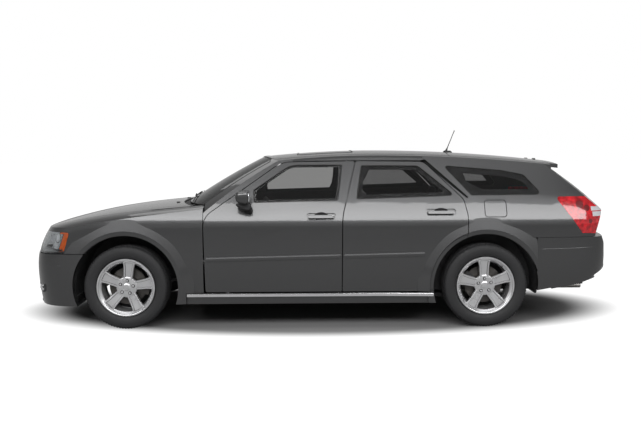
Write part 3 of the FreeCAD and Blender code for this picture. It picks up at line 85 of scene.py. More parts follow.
# Shader nodes.
def add_node(tree, kind, inputs=None, **settings):
    """A shader node; inputs are values or outputs of other nodes, by name or number."""
    item = tree.nodes.new("ShaderNode" + kind)
    for label, value in settings.items():
        setattr(item, label, value)
    for label, value in (inputs or {}).items():
        if isinstance(value, bpy.types.NodeSocket):
            tree.links.new(value, item.inputs[label])
        else:
            item.inputs[label].default_value = value
    return item


def place_of(tree):
    return add_node(tree, "TexCoord").outputs["Object"]


def maths(tree, operation, first, second):
    return add_node(tree, "Math", {0: first, 1: second}, operation=operation).outputs["Value"]


def vector_maths(tree, operation, *inputs):
    return add_node(tree, "VectorMath", dict(enumerate(inputs)), operation=operation).outputs


def all_of(tree, masks):
    """1 where every mask is 1."""
    result = masks[0]
    for mask in masks[1:]:
        result = maths(tree, "MULTIPLY", result, mask)
    return result


def map_range(tree, source, source_range=(0, 1), target_range=(0, 1), kind="LINEAR"):
    """Maps one range onto another, whose ends may be outputs of nodes."""
    (low, high), (start, end) = source_range, target_range
    return add_node(tree, "MapRange", {
        "Value": source, "From Min": low, "From Max": high, "To Min": start, "To Max": end},
        interpolation_type=kind).outputs["Result"]


# Shader groups.
NOISE_MIDDLE = (0.3, 0.7)
CLOUD_DETAIL = 3
THREAD_WAVER = 0.6


def new_group(name, inputs, outputs):
    """A node group whose inputs have defaults; sockets called Colour or Shade are colours."""
    tree = bpy.data.node_groups.new(name, "ShaderNodeTree")
    for label in (*inputs, *outputs):
        kind = "NodeSocketColor" if label in ("Colour", "Shade") else "NodeSocketFloat"
        way = "INPUT" if label in inputs else "OUTPUT"
        socket = tree.interface.new_socket(name=label, in_out=way, socket_type=kind)
        if label in inputs:
            socket.default_value = inputs[label]
    return tree, tree.nodes.new("NodeGroupInput").outputs, tree.nodes.new("NodeGroupOutput").inputs


def make_mottle():
    """Cloudy change of lightness and gloss over a surface."""
    tree, given, leave = new_group("mottle", {
        "Colour": (0.5, 0.5, 0.5, 1), "Scale": 6, "Darkest": 0.9, "Lightest": 1.1,
        "Smoothest": 0.4, "Roughest": 0.6}, ("Shade", "Roughness"))
    cloud = add_node(tree, "TexNoise", {
        "Vector": place_of(tree), "Scale": given["Scale"], "Detail": CLOUD_DETAIL}).outputs["Fac"]
    light = map_range(tree, cloud, NOISE_MIDDLE, (given["Darkest"], given["Lightest"]))
    gloss = map_range(tree, cloud, NOISE_MIDDLE, (given["Smoothest"], given["Roughest"]))
    tone = add_node(tree, "HueSaturation", {"Color": given["Colour"], "Value": light})
    tree.links.new(tone.outputs["Color"], leave["Shade"])
    tree.links.new(gloss, leave["Roughness"])
    return tree


def make_grain():
    """Fine pebbled height, as on moulded plastic, leather and castings."""
    tree, given, leave = new_group("grain", {"Scale": 400}, ("Height",))
    cells = add_node(tree, "TexVoronoi", {"Vector": place_of(tree), "Scale": given["Scale"]},
                     feature="SMOOTH_F1")
    tree.links.new(cells.outputs["Distance"], leave["Height"])
    return tree


def make_weave():
    """Height of crossed threads."""
    tree, given, leave = new_group("weave", {"Scale": 220}, ("Height",))
    threads = [add_node(tree, "TexWave", {
        "Vector": place_of(tree), "Scale": given["Scale"], "Distortion": THREAD_WAVER},
        bands_direction=direction).outputs["Fac"] for direction in ("X", "Y")]
    tree.links.new(maths(tree, "MULTIPLY", *threads), leave["Height"])
    return tree


MOTTLE = make_mottle()
GRAIN = make_grain()
WEAVE = make_weave()


def new_material(name, values):
    """A Principled material with values by input; gives the material, its tree and its shader."""
    material = bpy.data.materials.new(name)
    material.use_nodes = True
    shader = material.node_tree.nodes["Principled BSDF"]
    for label, value in values.items():
        shader.inputs[label].default_value = value
    return material, material.node_tree, shader


def finish(name, colour, roughness, cloud=(5, 0.06, 0.05), grain=None, weave=None, **plain):
    """An opaque material; cloud is (scale, change of lightness, change of roughness), grain and
    weave are (scale, strength, height)."""
    values = {label.replace("_", " "): value for label, value in plain.items()}
    material, tree, shader = new_material(name, values)
    scale, tone, gloss = cloud
    mottle = add_node(tree, "Group", node_tree=MOTTLE, inputs={
        "Colour": (*colour, 1), "Scale": scale, "Darkest": 1 - tone, "Lightest": 1 + tone,
        "Smoothest": max(roughness - gloss, 0), "Roughest": min(roughness + gloss, 1)})
    tree.links.new(mottle.outputs["Shade"], shader.inputs["Base Color"])
    tree.links.new(mottle.outputs["Roughness"], shader.inputs["Roughness"])
    for group, relief in ((GRAIN, grain), (WEAVE, weave)):
        if relief:
            scale, strength, distance = relief
            height = add_node(tree, "Group", {"Scale": scale}, node_tree=group).outputs["Height"]
            bump = add_node(tree, "Bump", {"Height": height, "Strength": strength, "Distance": distance})
            tree.links.new(bump.outputs["Normal"], shader.inputs["Normal"])
    return material


def clear(name, colour):
    """Glass or clear plastic, tinted by its colour."""
    return new_material(name, {
        "Base Color": (*colour, 1), "Roughness": 0, "Transmission Weight": 1, "IOR": 1.45})[0]


def region(tree, *planes):
    """1 where every plane test (direction, offset) holds: direction . place > offset."""
    place = place_of(tree)
    return all_of(tree, [
        maths(tree, "GREATER_THAN", vector_maths(tree, "DOT_PRODUCT", place, direction)["Value"], offset)
        for direction, offset in planes])


def bowl(tree, x, z, inner, outer):
    """1 in a ring about a point of the side view."""
    away = vector_maths(tree, "SUBTRACT", place_of(tree), (x, 0, z))["Vector"]
    flat = vector_maths(tree, "MULTIPLY", away, (1, 0, 1))["Vector"]
    length = vector_maths(tree, "LENGTH", flat)["Value"]
    outside = maths(tree, "GREATER_THAN", length, inner)
    return maths(tree, "MULTIPLY", outside, maths(tree, "LESS_THAN", length, outer))


def recolour(material, mask, colour):
    """Shows another colour where the mask is 1."""
    tree = material.node_tree
    target = tree.nodes["Principled BSDF"].inputs["Base Color"]
    below = target.links[0].from_socket if target.is_linked else target.default_value
    mix = add_node(tree, "Mix", {0: mask, 6: below, 7: (*colour, 1)}, data_type="RGBA")
    tree.links.new(mix.outputs[2], target)


BODY_PAINT = finish("body_paint", (0.072, 0.0725, 0.074), 0.34, cloud=(1800, 0.16, 0.06), Metallic=0.85,
                    Coat_Weight=1.0, Coat_Roughness=0.04, Coat_IOR=1.45)
BLACK_PLASTIC = finish("black_plastic", (0.012, 0.012, 0.013), 0.55, grain=(900, 0.25, 0.0004))
# Gloss black for the dishes in the handle recesses, which stand for painted shade behind the grips.
GLOSS_BLACK = finish("gloss_black", (0.008, 0.008, 0.009), 0.12, cloud=(4, 0.1, 0.04), Coat_Weight=0.6)
RUBBER = finish("seal_rubber", (0.01, 0.01, 0.01), 0.7, grain=(1400, 0.2, 0.0003))
TYRE = finish("tyre_rubber", (0.013, 0.013, 0.014), 0.66, cloud=(30, 0.2, 0.08), grain=(1200, 0.3, 0.0004))
CABIN_PLASTIC = finish("cabin_plastic", (0.03, 0.03, 0.032), 0.6, grain=(700, 0.4, 0.0005))
HEADLINING = finish("headlining_cloth", (0.16, 0.16, 0.155), 0.95, weave=(420, 0.3, 0.0005))
SEAT_CLOTH = finish("seat_cloth", (0.05, 0.05, 0.053), 0.9, cloud=(12, 0.1, 0.04), weave=(260, 0.5, 0.0008),
                    Sheen_Weight=0.25, Sheen_Roughness=0.5)
LEATHER = finish("wheel_leather", (0.02, 0.02, 0.02), 0.5, grain=(520, 0.35, 0.0006))
ALLOY = finish("alloy_silver", (0.66, 0.66, 0.67), 0.30, cloud=(14, 0.05, 0.05), grain=(2400, 0.05, 0.0002),
               Metallic=0.9, Coat_Weight=0.3, Coat_Roughness=0.1)
# A darker alloy for the walls of the spoke channels: painted shade in the channels.
ALLOY_PAINTED_SHADE = finish("alloy_painted_shade", (0.16, 0.16, 0.165), 0.45, cloud=(14, 0.08, 0.05), Metallic=0.7)
CHROME = finish("chrome", (0.8, 0.8, 0.81), 0.08, cloud=(20, 0.03, 0.03), Metallic=1.0)
MIRROR_GLASS = finish("mirror_glass", (0.85, 0.86, 0.87), 0.02, cloud=(3, 0.02, 0.01), Metallic=1.0)
UNDERBODY = finish("underbody_coat", (0.02, 0.02, 0.021), 0.65, cloud=(9, 0.25, 0.1),
                   grain=(300, 0.5, 0.001))
IRON = finish("bare_iron", (0.09, 0.085, 0.08), 0.45, cloud=(18, 0.2, 0.1), grain=(1100, 0.2, 0.0004),
              Metallic=0.9)
CASTING = finish("cast_engine", (0.16, 0.16, 0.16), 0.6, cloud=(14, 0.2, 0.08), grain=(420, 0.6, 0.0012),
                 Metallic=0.6)
PIPE = finish("exhaust_steel", (0.28, 0.27, 0.26), 0.42, cloud=(10, 0.2, 0.1), grain=(900, 0.1, 0.0003),
              Metallic=0.95)
REFLECTOR = finish("lamp_reflector", (0.62, 0.63, 0.64), 0.2, cloud=(30, 0.12, 0.06), Metallic=0.95)
PLATE = finish("blank_plate", (0.62, 0.62, 0.61), 0.4, cloud=(20, 0.04, 0.05), grain=(1500, 0.05, 0.0002),
               Metallic=0.2)
CLEAR_PANE = clear("clear_pane", (0.97, 0.97, 0.965))
PRIVACY_PANE = clear("privacy_pane", (0.62, 0.62, 0.62))
SCREEN_PANE = clear("screen_pane", (0.16, 0.17, 0.17))
LAMP_LENS = clear("lamp_lens", (0.93, 0.95, 0.96))
TAIL_LENS = finish("tail_lens", (0.40, 0.005, 0.010), 0.12, cloud=(30, 0.5, 0.04), Coat_Weight=1.0,
                   Coat_Roughness=0.02)

AMBER = (1.0, 0.16, 0.01)
LAMP_GREY = (0.5, 0.5, 0.52)

# Materials paired with slot names.
TRIM = (BLACK_PLASTIC, "black_plastic")
PAINT = (BODY_PAINT, "paint")
BRIGHT = (CHROME, "rim_alloy")


def dress_nodes():
    kinds = {
        "floor_pan": UNDERBODY, "front_suspension": UNDERBODY, "rear_suspension": UNDERBODY,
        "cowl": BLACK_PLASTIC, "antenna": BLACK_PLASTIC, "dashboard": CABIN_PLASTIC,
        "front_seats": CABIN_PLASTIC, "rear_seat": CABIN_PLASTIC, "steering_wheel": LEATHER,
        "engine_block": CASTING, "exhaust": PIPE, "headlamps": REFLECTOR, "headlamp_lenses": LAMP_LENS,
        "tail_lamps": TAIL_LENS, "windscreen": SCREEN_PANE, "fixed_glass": PRIVACY_PANE,
        "tailgate_glass": PRIVACY_PANE}
    for side in SIDES:
        kinds["glass_front_" + side] = CLEAR_PANE
        kinds["glass_rear_" + side] = PRIVACY_PANE
        kinds["knuckle_" + side] = IRON
        for end in ("front", "rear"):
            kinds["wheel_%s_%s" % (end, side)] = ALLOY
            kinds["tyre_%s_%s" % (end, side)] = TYRE
    for name, item in nodes.items():
        chosen = kinds.get(name, BODY_PAINT)
        if not item.material_slots:
            item.data.materials.append(chosen)
        for slot in item.material_slots:
            slot.material = chosen


# Colours inside the lamps and over the roof pane.
def dress_lamps():
    # The slanted rear edge of the headlamp runs from (-2.105, 0.832) to (-2.167, 0.655).
    slant = Vector((0.177, 0, -0.062)).normalized()
    edge = slant.dot(Vector((-2.176, 0, 0.744)))
    tree = REFLECTOR.node_tree
    bottom = 0.672
    for x, z, deep in ((-2.270, 0.765, 0.044), (-2.235, 0.690, 0.026), (-2.330, 0.700, 0.026)):
        recolour(REFLECTOR, bowl(tree, x, z, deep * 0.82, deep), (0.03, 0.03, 0.032))
        recolour(REFLECTOR, bowl(tree, x, z, 0, deep * 0.45), (0.75, 0.76, 0.78))
    recolour(REFLECTOR, region(tree, (slant, edge - 0.048), (-slant, -edge + 0.040)), (0.02, 0.02, 0.022))
    recolour(REFLECTOR, region(tree, ((0, 0, -1), -bottom)), (0.05, 0.05, 0.052))
    recolour(REFLECTOR, region(tree, (slant, edge - 0.040), ((0, 0, 1), bottom)), AMBER)
    recolour(PRIVACY_PANE, region(PRIVACY_PANE.node_tree, ((0, 0, 1), 1.43)), (0.03, 0.03, 0.03))
    tree = TAIL_LENS.node_tree
    for x, z, size in ((2.200, 1.040, 0.034), (2.262, 1.010, 0.026), (2.285, 0.900, 0.018)):
        recolour(TAIL_LENS, bowl(tree, x, z, 0, size), (0.13, 0.003, 0.005))
    for low, high, front in ((0.985, 1.020, 2.300), (0.940, 0.978, 2.310)):
        band = region(tree, ((0, 0, 1), low), ((0, 0, -1), -high), ((1, 0, 0), front))
        recolour(TAIL_LENS, band, LAMP_GREY)


# Mesh helpers.
def surface_of(name):
    mesh = nodes[name].data
    return BVHTree.FromPolygons([v.co for v in mesh.vertices], [tuple(p.vertices) for p in mesh.polygons])


def object_of(name, bm):
    """A mesh object of a bmesh, which is freed."""
    mesh = bpy.data.meshes.new(name)
    bm.to_mesh(mesh)
    bm.free()
    return link(bpy.data.objects.new(name, mesh))


def piece(name, bm, body, material, slot, angle=35):
    """Turns a bmesh into a named piece that rides on a body."""
    bmesh.ops.recalc_face_normals(bm, faces=bm.faces)
    item = object_of(name, bm)
    for face in item.data.polygons:
        face.use_smooth = True
    item.data.set_sharp_from_angle(angle=math.radians(angle))
    item.data.materials.append(material)
    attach(item, body)
    return item


def mirror(bm):
    """Turns a bmesh into its mirror image on the other side of the car."""
    bmesh.ops.transform(bm, matrix=Matrix.Diagonal((1, -1, 1, 1)), verts=bm.verts)
    bmesh.ops.reverse_faces(bm, faces=bm.faces)
    return bm


def pair(name, bm, body, material, slot, angle=35):
    """Adds name_left and name_right; a body name that ends in _ takes the side as well."""
    made = {}
    for side, shape in (("left", bm), ("right", mirror(bm.copy()))):
        rides_on = body + side if body.endswith("_") else body
        made[side] = piece("%s_%s" % (name, side), shape, rides_on, material, slot, angle)
    return made


def bevel(bm, edges, radius, segments):
    bmesh.ops.bevel(bm, geom=edges, offset=radius, offset_type="OFFSET", segments=segments, profile=0.5,
                    affect="EDGES", material=-1)


def edges_of(verts):
    return list({edge for vert in verts for edge in vert.link_edges})


def thicken(bm, faces, way):
    """Grows faces into a plate; gives its moved vertices and faces."""
    grown = bmesh.ops.extrude_face_region(bm, geom=faces)["geom"]
    far = [item for item in grown if isinstance(item, bmesh.types.BMVert)]
    bmesh.ops.translate(bm, vec=way, verts=far)
    return far, [item for item in grown if isinstance(item, bmesh.types.BMFace)]


def closed_loop(bm, places):
    """Edges round a ring of places."""
    ring = [bm.verts.new(place) for place in places]
    return [bm.edges.new(couple) for couple in zip(ring, ring[1:] + ring[:1])]


def add_loft(bm, sections):
    """A closed bar through sections, each a ring of places."""
    rows = [closed_loop(bm, section) for section in sections]
    for one, two in zip(rows, rows[1:]):
        bmesh.ops.bridge_loops(bm, edges=one + two)
    for row in (rows[0], rows[-1]):
        bmesh.ops.contextual_create(bm, geom=row)


def rounded(corners, radius, steps=5):
    """Flat corners (a, b) with their points rounded off."""
    out = []
    count = len(corners)
    for index, corner in enumerate(corners):
        here = Vector(corner)
        before = Vector(corners[index - 1]) - here
        after = Vector(corners[(index + 1) % count]) - here
        cut = min(radius, before.length * 0.45, after.length * 0.45)
        start = here + before.normalized() * cut
        end = here + after.normalized() * cut
        for step in range(steps + 1):
            part = step / steps
            out.append(start * (1 - part) ** 2 + here * 2 * part * (1 - part) + end * part ** 2)
    return out


def add_block(bm, low, high, radius=0.004, segments=2):
    """A rounded block from corner to corner."""
    low, high = Vector(low), Vector(high)
    place = Matrix.Translation((low + high) / 2) @ Matrix.Diagonal((*(high - low), 1))
    made = bmesh.ops.create_cube(bm, size=1, matrix=place)
    bevel(bm, edges_of(made["verts"]), radius, segments)


def add_slab(bm, corners, y0, y1, radius, segments, corner_radius=0):
    """A plate with an outline of (x, z) corners, which may be rounded, between two y values."""
    if corner_radius:
        corners = rounded(corners, corner_radius, 4)
    ring = [bm.verts.new((x, y0, z)) for x, z in corners]
    far = thicken(bm, [bm.faces.new(ring)], (0, y1 - y0, 0))[0]
    bevel(bm, edges_of(ring + far), radius, segments)


def add_turned(bm, profile, centre, axis, steps=32):
    """Spins a profile of (radius, distance along the axis) round an axis."""
    axis = Vector(axis).normalized()
    side = axis.orthogonal().normalized()
    centre = Vector(centre)
    ring = [bm.verts.new(centre + side * radius + axis * along) for radius, along in profile]
    edges = [bm.edges.new(couple) for couple in zip(ring, ring[1:])]
    bmesh.ops.spin(bm, geom=ring + edges, cent=centre, axis=axis, angle=math.tau, steps=steps,
                   use_merge=True)
    bmesh.ops.remove_doubles(bm, verts=bm.verts, dist=1e-6)


def add_tube(bm, points, radius, sides=8, closed=False):
    """A round bar that follows points."""
    line = bpy.data.curves.new("line", "CURVE")
    line.dimensions = "3D"
    line.bevel_depth = radius
    line.bevel_resolution = max(sides // 4 - 1, 0)
    line.use_fill_caps = True
    spline = line.splines.new("POLY")
    spline.points.add(len(points) - 1)
    for point, place in zip(spline.points, points):
        point.co = (*place, 1)
    spline.use_cyclic_u = closed
    holder = bpy.data.objects.new("line", line)
    mesh = bpy.data.meshes.new_from_object(holder)
    bm.from_mesh(mesh)
    bpy.data.objects.remove(holder)
    bpy.data.meshes.remove(mesh)
    bmesh.ops.remove_doubles(bm, verts=bm.verts, dist=1e-6)


def rim_lines(name, way):
    """The closed lines round the outer face of a pane, whose face looks along way(middle)."""
    bm = bmesh.new()
    bm.from_mesh(nodes[name].data)
    bmesh.ops.remove_doubles(bm, verts=bm.verts, dist=1e-5)
    bm.normal_update()
    kept = {}
    for edge in bm.edges:
        if len(edge.link_faces) != 2:
            continue
        look = way((edge.verts[0].co + edge.verts[1].co) / 2)
        facing = [face.normal.dot(look) > 0.5 for face in edge.link_faces]
        if facing[0] != facing[1]:
            for one, two in (edge.verts, reversed(list(edge.verts))):
                kept.setdefault(one, []).append(two)
    lines = []
    while kept:
        start = next(iter(kept))
        line = [start]
        here = start
        while True:
            ahead = [vert for vert in kept.pop(here, []) if vert in kept]
            if not ahead:
                break
            here = ahead[0]
            line.append(here)
        if len(line) > 8:
            lines.append([vert.co.copy() for vert in line])
    bm.free()
    return lines


def thin_line(points, step):
    """Drops points that lie closer than a step to the last kept one."""
    kept = [points[0]]
    for point in points[1:]:
        if (point - kept[-1]).length > step:
            kept.append(point)
    return kept


# Lines of sight onto the panels.
FAR_LEFT = -2
NEAR = 0.4


def skin(x, z):
    """Half width of the body side, on the same curves as its panels."""
    x, z = 1000 * x, 1000 * z
    wide = 926.0
    if z < 600:
        wide -= 36 * ((600 - z) / 400) ** 2
    if z > 880:
        wide -= 0.5 * (math.hypot(z - 880, 60) - 60)
    if x > 1500:
        back = (x - 1500) / 1011
        wide -= 60 * back ** 2 + 200 * back ** 10
    if x > 600 and z > 1100:
        wide -= 40 * ((x - 600) / 1400) ** 2 * (z - 1100) / 300
    return wide / 1000


def meet(tree, start, way, missed=None):
    """Where a line first meets a surface, or the place given for a miss."""
    hit = tree.ray_cast(Vector(start), Vector(way))[0]
    return hit if hit else missed


def from_left(tree, x, z, missed=None):
    return meet(tree, (x, FAR_LEFT, z), (0, 1, 0), missed)


def onto(tree, place, look, missed=None):
    """The place of a surface that looks along look, over or under a place near it."""
    return meet(tree, place + look * NEAR, -look, missed)


# Window seals.
SCREEN_LOOK = Vector((-0.5, 0, 0.86))
BACK_GLASS_LOOK = Vector((0.6, 0, 0.8))
ROOF_HALF = 0.45
SEAL_STEP = 0.012


def side_way(middle):
    if abs(middle.y) > ROOF_HALF:
        return Vector((0, math.copysign(1, middle.y), 0.2))
    return Vector((0, 0, 1))


def add_seal(label, source, body, way, radius):
    bm = bmesh.new()
    for line in rim_lines(source, way):
        add_tube(bm, thin_line(line, SEAL_STEP), radius, closed=True)
    piece(label, bm, body, RUBBER, "black_plastic")


def add_seals():
    for side in SIDES:
        for end in ("front", "rear"):
            corner = "%s_%s" % (end, side)
            add_seal("window_seal_" + corner, "glass_" + corner, "door_" + corner, side_way, 0.0055)
    for label, source, body, way in (
            ("fixed_glass_seal", "fixed_glass", "car_body", side_way),
            ("screen_seal", "windscreen", "car_body", lambda middle: SCREEN_LOOK),
            ("back_glass_seal", "tailgate_glass", "tailgate", lambda middle: BACK_GLASS_LOOK)):
        add_seal(label, source, body, way, 0.0045)


# Tyres with grooves round the tread and cuts in the shoulders.
TYRE_STEPS = 180
TYRE_SHRINK = 0.0006
GROOVE_DEPTH = 0.007
SHOULDER = 0.066


def add_tyres():
    for end, side in CORNERS:
        name = "tyre_%s_%s" % (end, side)
        low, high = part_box(name)
        centre = (low + high) / 2
        radius = (high.z - low.z) / 2 - TYRE_SHRINK
        half = (high.y - low.y) / 2 - TYRE_SHRINK
        groove = []
        for y in (-0.058, -0.020, 0.020, 0.058):
            groove += [(radius, y - 0.006), (radius - GROOVE_DEPTH, y - 0.004),
                       (radius - GROOVE_DEPTH, y + 0.004), (radius, y + 0.006)]
        edge = [(0.252, half - 0.016), (0.262, half - 0.009), (0.275, half - 0.0035), (0.290, half - 0.0005),
                (0.306, half), (0.3085, half), (0.322, half - 0.0025), (radius - 0.020, half - 0.005),
                (radius - 0.011, half - 0.010), (radius - 0.004, half - 0.018), (radius, half - 0.028)]
        profile = [(r, -y) for r, y in edge] + groove + list(reversed(edge))
        bm = bmesh.new()
        add_turned(bm, profile, centre, (0, 1, 0), TYRE_STEPS)
        cuts = []
        for face in bm.faces:
            middle = face.calc_center_median() - centre
            column = int(math.atan2(middle.z, middle.x) % math.tau / math.tau * TYRE_STEPS)
            reach = math.hypot(middle.x, middle.z)
            if column % 2 == 0 and reach > radius - 0.018 and abs(middle.y) > SHOULDER:
                cuts.append(face)
        bmesh.ops.recalc_face_normals(bm, faces=bm.faces)
        bmesh.ops.inset_region(bm, faces=cuts, thickness=0.0008, depth=-0.004)
        tyre = piece("road_" + name, bm, "wheel_%s_%s" % (end, side), TYRE, "tyre", angle=40)
        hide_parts(name)


# Wheels: spun rim, five channelled spokes, hub with nuts and cap, brake disc behind.
# A profile is (radius, distance outboard).
SPOKE_TURNS = {"front_left": 8, "rear_left": -3, "front_right": -20, "rear_right": -30}
SPOKES = 5
NUT_CIRCLE = 0.057
RIM_PROFILE = [
    (0.2325, 0.1025), (0.2350, 0.1040), (0.2440, 0.1040), (0.2460, 0.1020), (0.2458, 0.0965),
    (0.2282, 0.0915), (0.2250, 0.0500), (0.2060, 0.0200), (0.2120, -0.0700), (0.2280, -0.0920),
    (0.2458, -0.0960), (0.2460, -0.1030), (0.2340, -0.1040), (0.2180, -0.0980), (0.2030, -0.0700),
    (0.1970, 0.0220), (0.2060, 0.0480), (0.2090, 0.0660), (0.2110, 0.0760), (0.2190, 0.0850),
    (0.2310, 0.0960), (0.2325, 0.1025)]
HUB_PROFILE = [
    (0, 0.030), (0.080, 0.030), (0.088, 0.036), (0.090, 0.056), (0.086, 0.0645), (0.078, 0.0675),
    (0.040, 0.0690), (0.0345, 0.0690), (0.0335, 0.0665), (0.0325, 0.0665), (0.0318, 0.0720),
    (0.027, 0.0750), (0.018, 0.0768), (0, 0.0775)]
NUT_WELL_PROFILE = [(0.0145, 0.0672), (0.0145, 0.0698), (0.0138, 0.0706), (0, 0.0706)]
DISC_PROFILE = [
    (0.020, 0.030), (0.074, 0.030), (0.078, 0.026), (0.078, 0.006), (0.158, 0.006), (0.160, 0.004),
    (0.160, -0.001), (0.150, -0.002), (0.150, -0.013), (0.160, -0.014), (0.160, -0.018),
    (0.158, -0.020), (0.074, -0.020), (0.070, -0.016), (0.070, 0.022), (0.020, 0.022), (0.020, 0.030)]
VALVE_PROFILE = [(0.0030, 0.066), (0.0045, 0.070), (0.0045, 0.084), (0.0028, 0.087), (0, 0.087)]
# Half of a spoke's outline as (half width, radius).
SPOKE_OUTLINE = [(0.036, 0.056), (0.039, 0.105), (0.0425, 0.165), (0.049, 0.200), (0.056, 0.216),
                 (0.030, 0.228)]
SPOKE_DEPTH = 0.030
SPOKE_EDGE = 0.0035


def spoke_rise(radius):
    """How far outboard the spoke's face stands at a radius."""
    return 0.067 + 0.026 * max(0, min((radius - 0.080) / 0.148, 1))


def shift_out(faces, distance):
    for vert in {vert for face in faces for vert in face.verts}:
        vert.co.y += distance


def inset(bm, faces, thickness):
    return bmesh.ops.inset_region(bm, faces=faces, thickness=thickness, depth=0.0,
                                  use_even_offset=True)["faces"]


def add_spoke(bm):
    """One spoke that points up from the wheel's middle, facing outboard along +Y."""
    corners = SPOKE_OUTLINE + [(-x, r) for x, r in reversed(SPOKE_OUTLINE)]
    face = bm.faces.new([bm.verts.new((x, 0, r)) for x, r in corners])
    top = thicken(bm, [face], (0, SPOKE_DEPTH, 0))[1]
    bm.normal_update()
    inset(bm, top, SPOKE_EDGE)
    shift_out(top, SPOKE_EDGE)
    inset(bm, top, 0.0105)
    # The channel walls take the darker alloy of the second material: painted shade in the channels.
    for wall in inset(bm, top, SPOKE_EDGE):
        wall.material_index = 1
    shift_out(top, -0.0085)
    for vert in bm.verts:
        vert.co.y += spoke_rise(vert.co.z) - SPOKE_DEPTH - SPOKE_EDGE


def spun(profile, steps, centre=(0, 0, 0)):
    bm = bmesh.new()
    add_turned(bm, profile, centre, (0, 1, 0), steps)
    return bm


def rim_shape():
    bm = spun(RIM_PROFILE, 120)
    for count in range(SPOKES):
        spoke = bmesh.new()
        add_spoke(spoke)
        turn = Matrix.Rotation(count * math.tau / SPOKES, 4, "Y")
        bmesh.ops.transform(spoke, matrix=turn, verts=spoke.verts)
        part = bpy.data.meshes.new("spoke")
        spoke.to_mesh(part)
        spoke.free()
        bm.from_mesh(part)
        bpy.data.meshes.remove(part)
    add_turned(bm, HUB_PROFILE, (0, 0, 0), (0, 1, 0), 60)
    return bm


def nut_spots():
    angles = [count * math.tau / SPOKES for count in range(SPOKES)]
    return [Vector((NUT_CIRCLE * math.sin(angle), 0, NUT_CIRCLE * math.cos(angle))) for angle in angles]


def nut_wells():
    bm = bmesh.new()
    for spot in nut_spots():
        add_turned(bm, NUT_WELL_PROFILE, spot, (0, 1, 0), 20)
    return bm


def nuts():
    bm = bmesh.new()
    for spot in nut_spots():
        place = Matrix.Translation(spot + Vector((0, 0.0745, 0))) @ Matrix.Rotation(-math.pi / 2, 4, "X")
        made = bmesh.ops.create_cone(bm, cap_ends=True, segments=6, radius1=0.0098, radius2=0.0092,
                                     depth=0.014, matrix=place)
        ends = [edge for edge in edges_of(made["verts"]) if all(vert.co.y > 0.080 for vert in edge.verts)]
        bevel(bm, ends, 0.0025, 2)
    return bm


def add_wheels():
    for end, side in CORNERS:
        corner = "%s_%s" % (end, side)
        name = "wheel_" + corner
        low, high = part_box(name)
        place = Matrix.Translation((low + high) / 2) @ Matrix.Diagonal((1, OUTWARD[side], 1, 1))
        turned = place @ Matrix.Rotation(math.radians(SPOKE_TURNS[corner]), 4, "Y")
        made = []
        for label, bm, move, material, slot, angle in (
                ("alloy_wheel_", rim_shape(), turned, ALLOY, "rim_alloy", 28),
                ("nut_wells_", nut_wells(), turned, *TRIM, 40),
                ("wheel_nuts_", nuts(), turned, *BRIGHT, 30),
                ("brake_disc_", spun(DISC_PROFILE, 72), place, IRON, "dark_metal", 30),
                ("valve_", spun(VALVE_PROFILE, 12, (0.150, 0, 0.150)), turned, RUBBER, "black_plastic", 40)):
            bmesh.ops.transform(bm, matrix=move, verts=bm.verts)
            made.append(piece(label + corner, bm, name, material, slot, angle))
        rim = made[0]
        # The darker alloy on the channel walls: painted shade.
        rim.data.materials.append(ALLOY_PAINTED_SHADE)
        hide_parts(name)


# Seats as stuffed pads.
VOXEL = 0.011
STUFFING_FRAMES = 20
PRESSURE = 4.0
CHANNEL_DEPTH = 0.010
CHANNEL_WIDTH = 0.010


def baked_mesh(item):
    """The mesh of an object with its modifiers worked in."""
    mesh = bpy.data.meshes.new_from_object(item.evaluated_get(bpy.context.evaluated_depsgraph_get()))
    item.modifiers.clear()
    return mesh


def stuffed(name, bm, swell):
    """Remeshes a pad, blows it up as cloth for a moment and keeps the swelling within a cap."""
    bmesh.ops.recalc_face_normals(bm, faces=bm.faces)
    item = object_of(name, bm)
    mesh = item.data
    remesh = item.modifiers.new("even", "REMESH")
    remesh.mode = "VOXEL"
    remesh.voxel_size = VOXEL
    bpy.context.view_layer.update()
    even = item.data = baked_mesh(item)
    bpy.data.meshes.remove(mesh)
    rest = [vert.co.copy() for vert in even.vertices]
    cloth = item.modifiers.new("stuffing", "CLOTH")
    cloth.settings.use_pressure = True
    cloth.settings.uniform_pressure_force = PRESSURE
    cloth.settings.effector_weights.gravity = 0
    scene = bpy.context.scene
    for number in range(1, STUFFING_FRAMES + 1):
        scene.frame_set(number)
    swollen = baked_mesh(item)
    for vert, start in zip(swollen.vertices, rest):
        move = vert.co - start
        if move.length > swell:
            vert.co = start + move.normalized() * swell
    item.data = swollen
    bpy.data.meshes.remove(even)
    scene.frame_set(1)
    return item


def press_channels(item, lines):
    """Presses sewn channels in; a line is (direction, offset) of a plane across the pad."""
    mesh = item.data
    moves = []
    for vert in mesh.vertices:
        press = 0.0
        for direction, offset in lines:
            away = abs(vert.co.dot(Vector(direction)) - offset)
            press = max(press, math.exp(-(away / CHANNEL_WIDTH) ** 2))
        moves.append(vert.normal * (-CHANNEL_DEPTH * press))
    for vert, move in zip(mesh.vertices, moves):
        vert.co += move


def settle_pad(item, body):
    mesh = item.data
    mesh.materials.clear()
    mesh.materials.append(SEAT_CLOTH)
    for face in mesh.polygons:
        face.use_smooth = True
    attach(item, body)


def twin_of(item, name, flip=True, move=(0, 0, 0)):
    """A copy of a pad, mirrored or moved."""
    bm = bmesh.new()
    bm.from_mesh(item.data)
    if flip:
        mirror(bm)
    bmesh.ops.translate(bm, vec=move, verts=bm.verts)
    return object_of(name, bm)


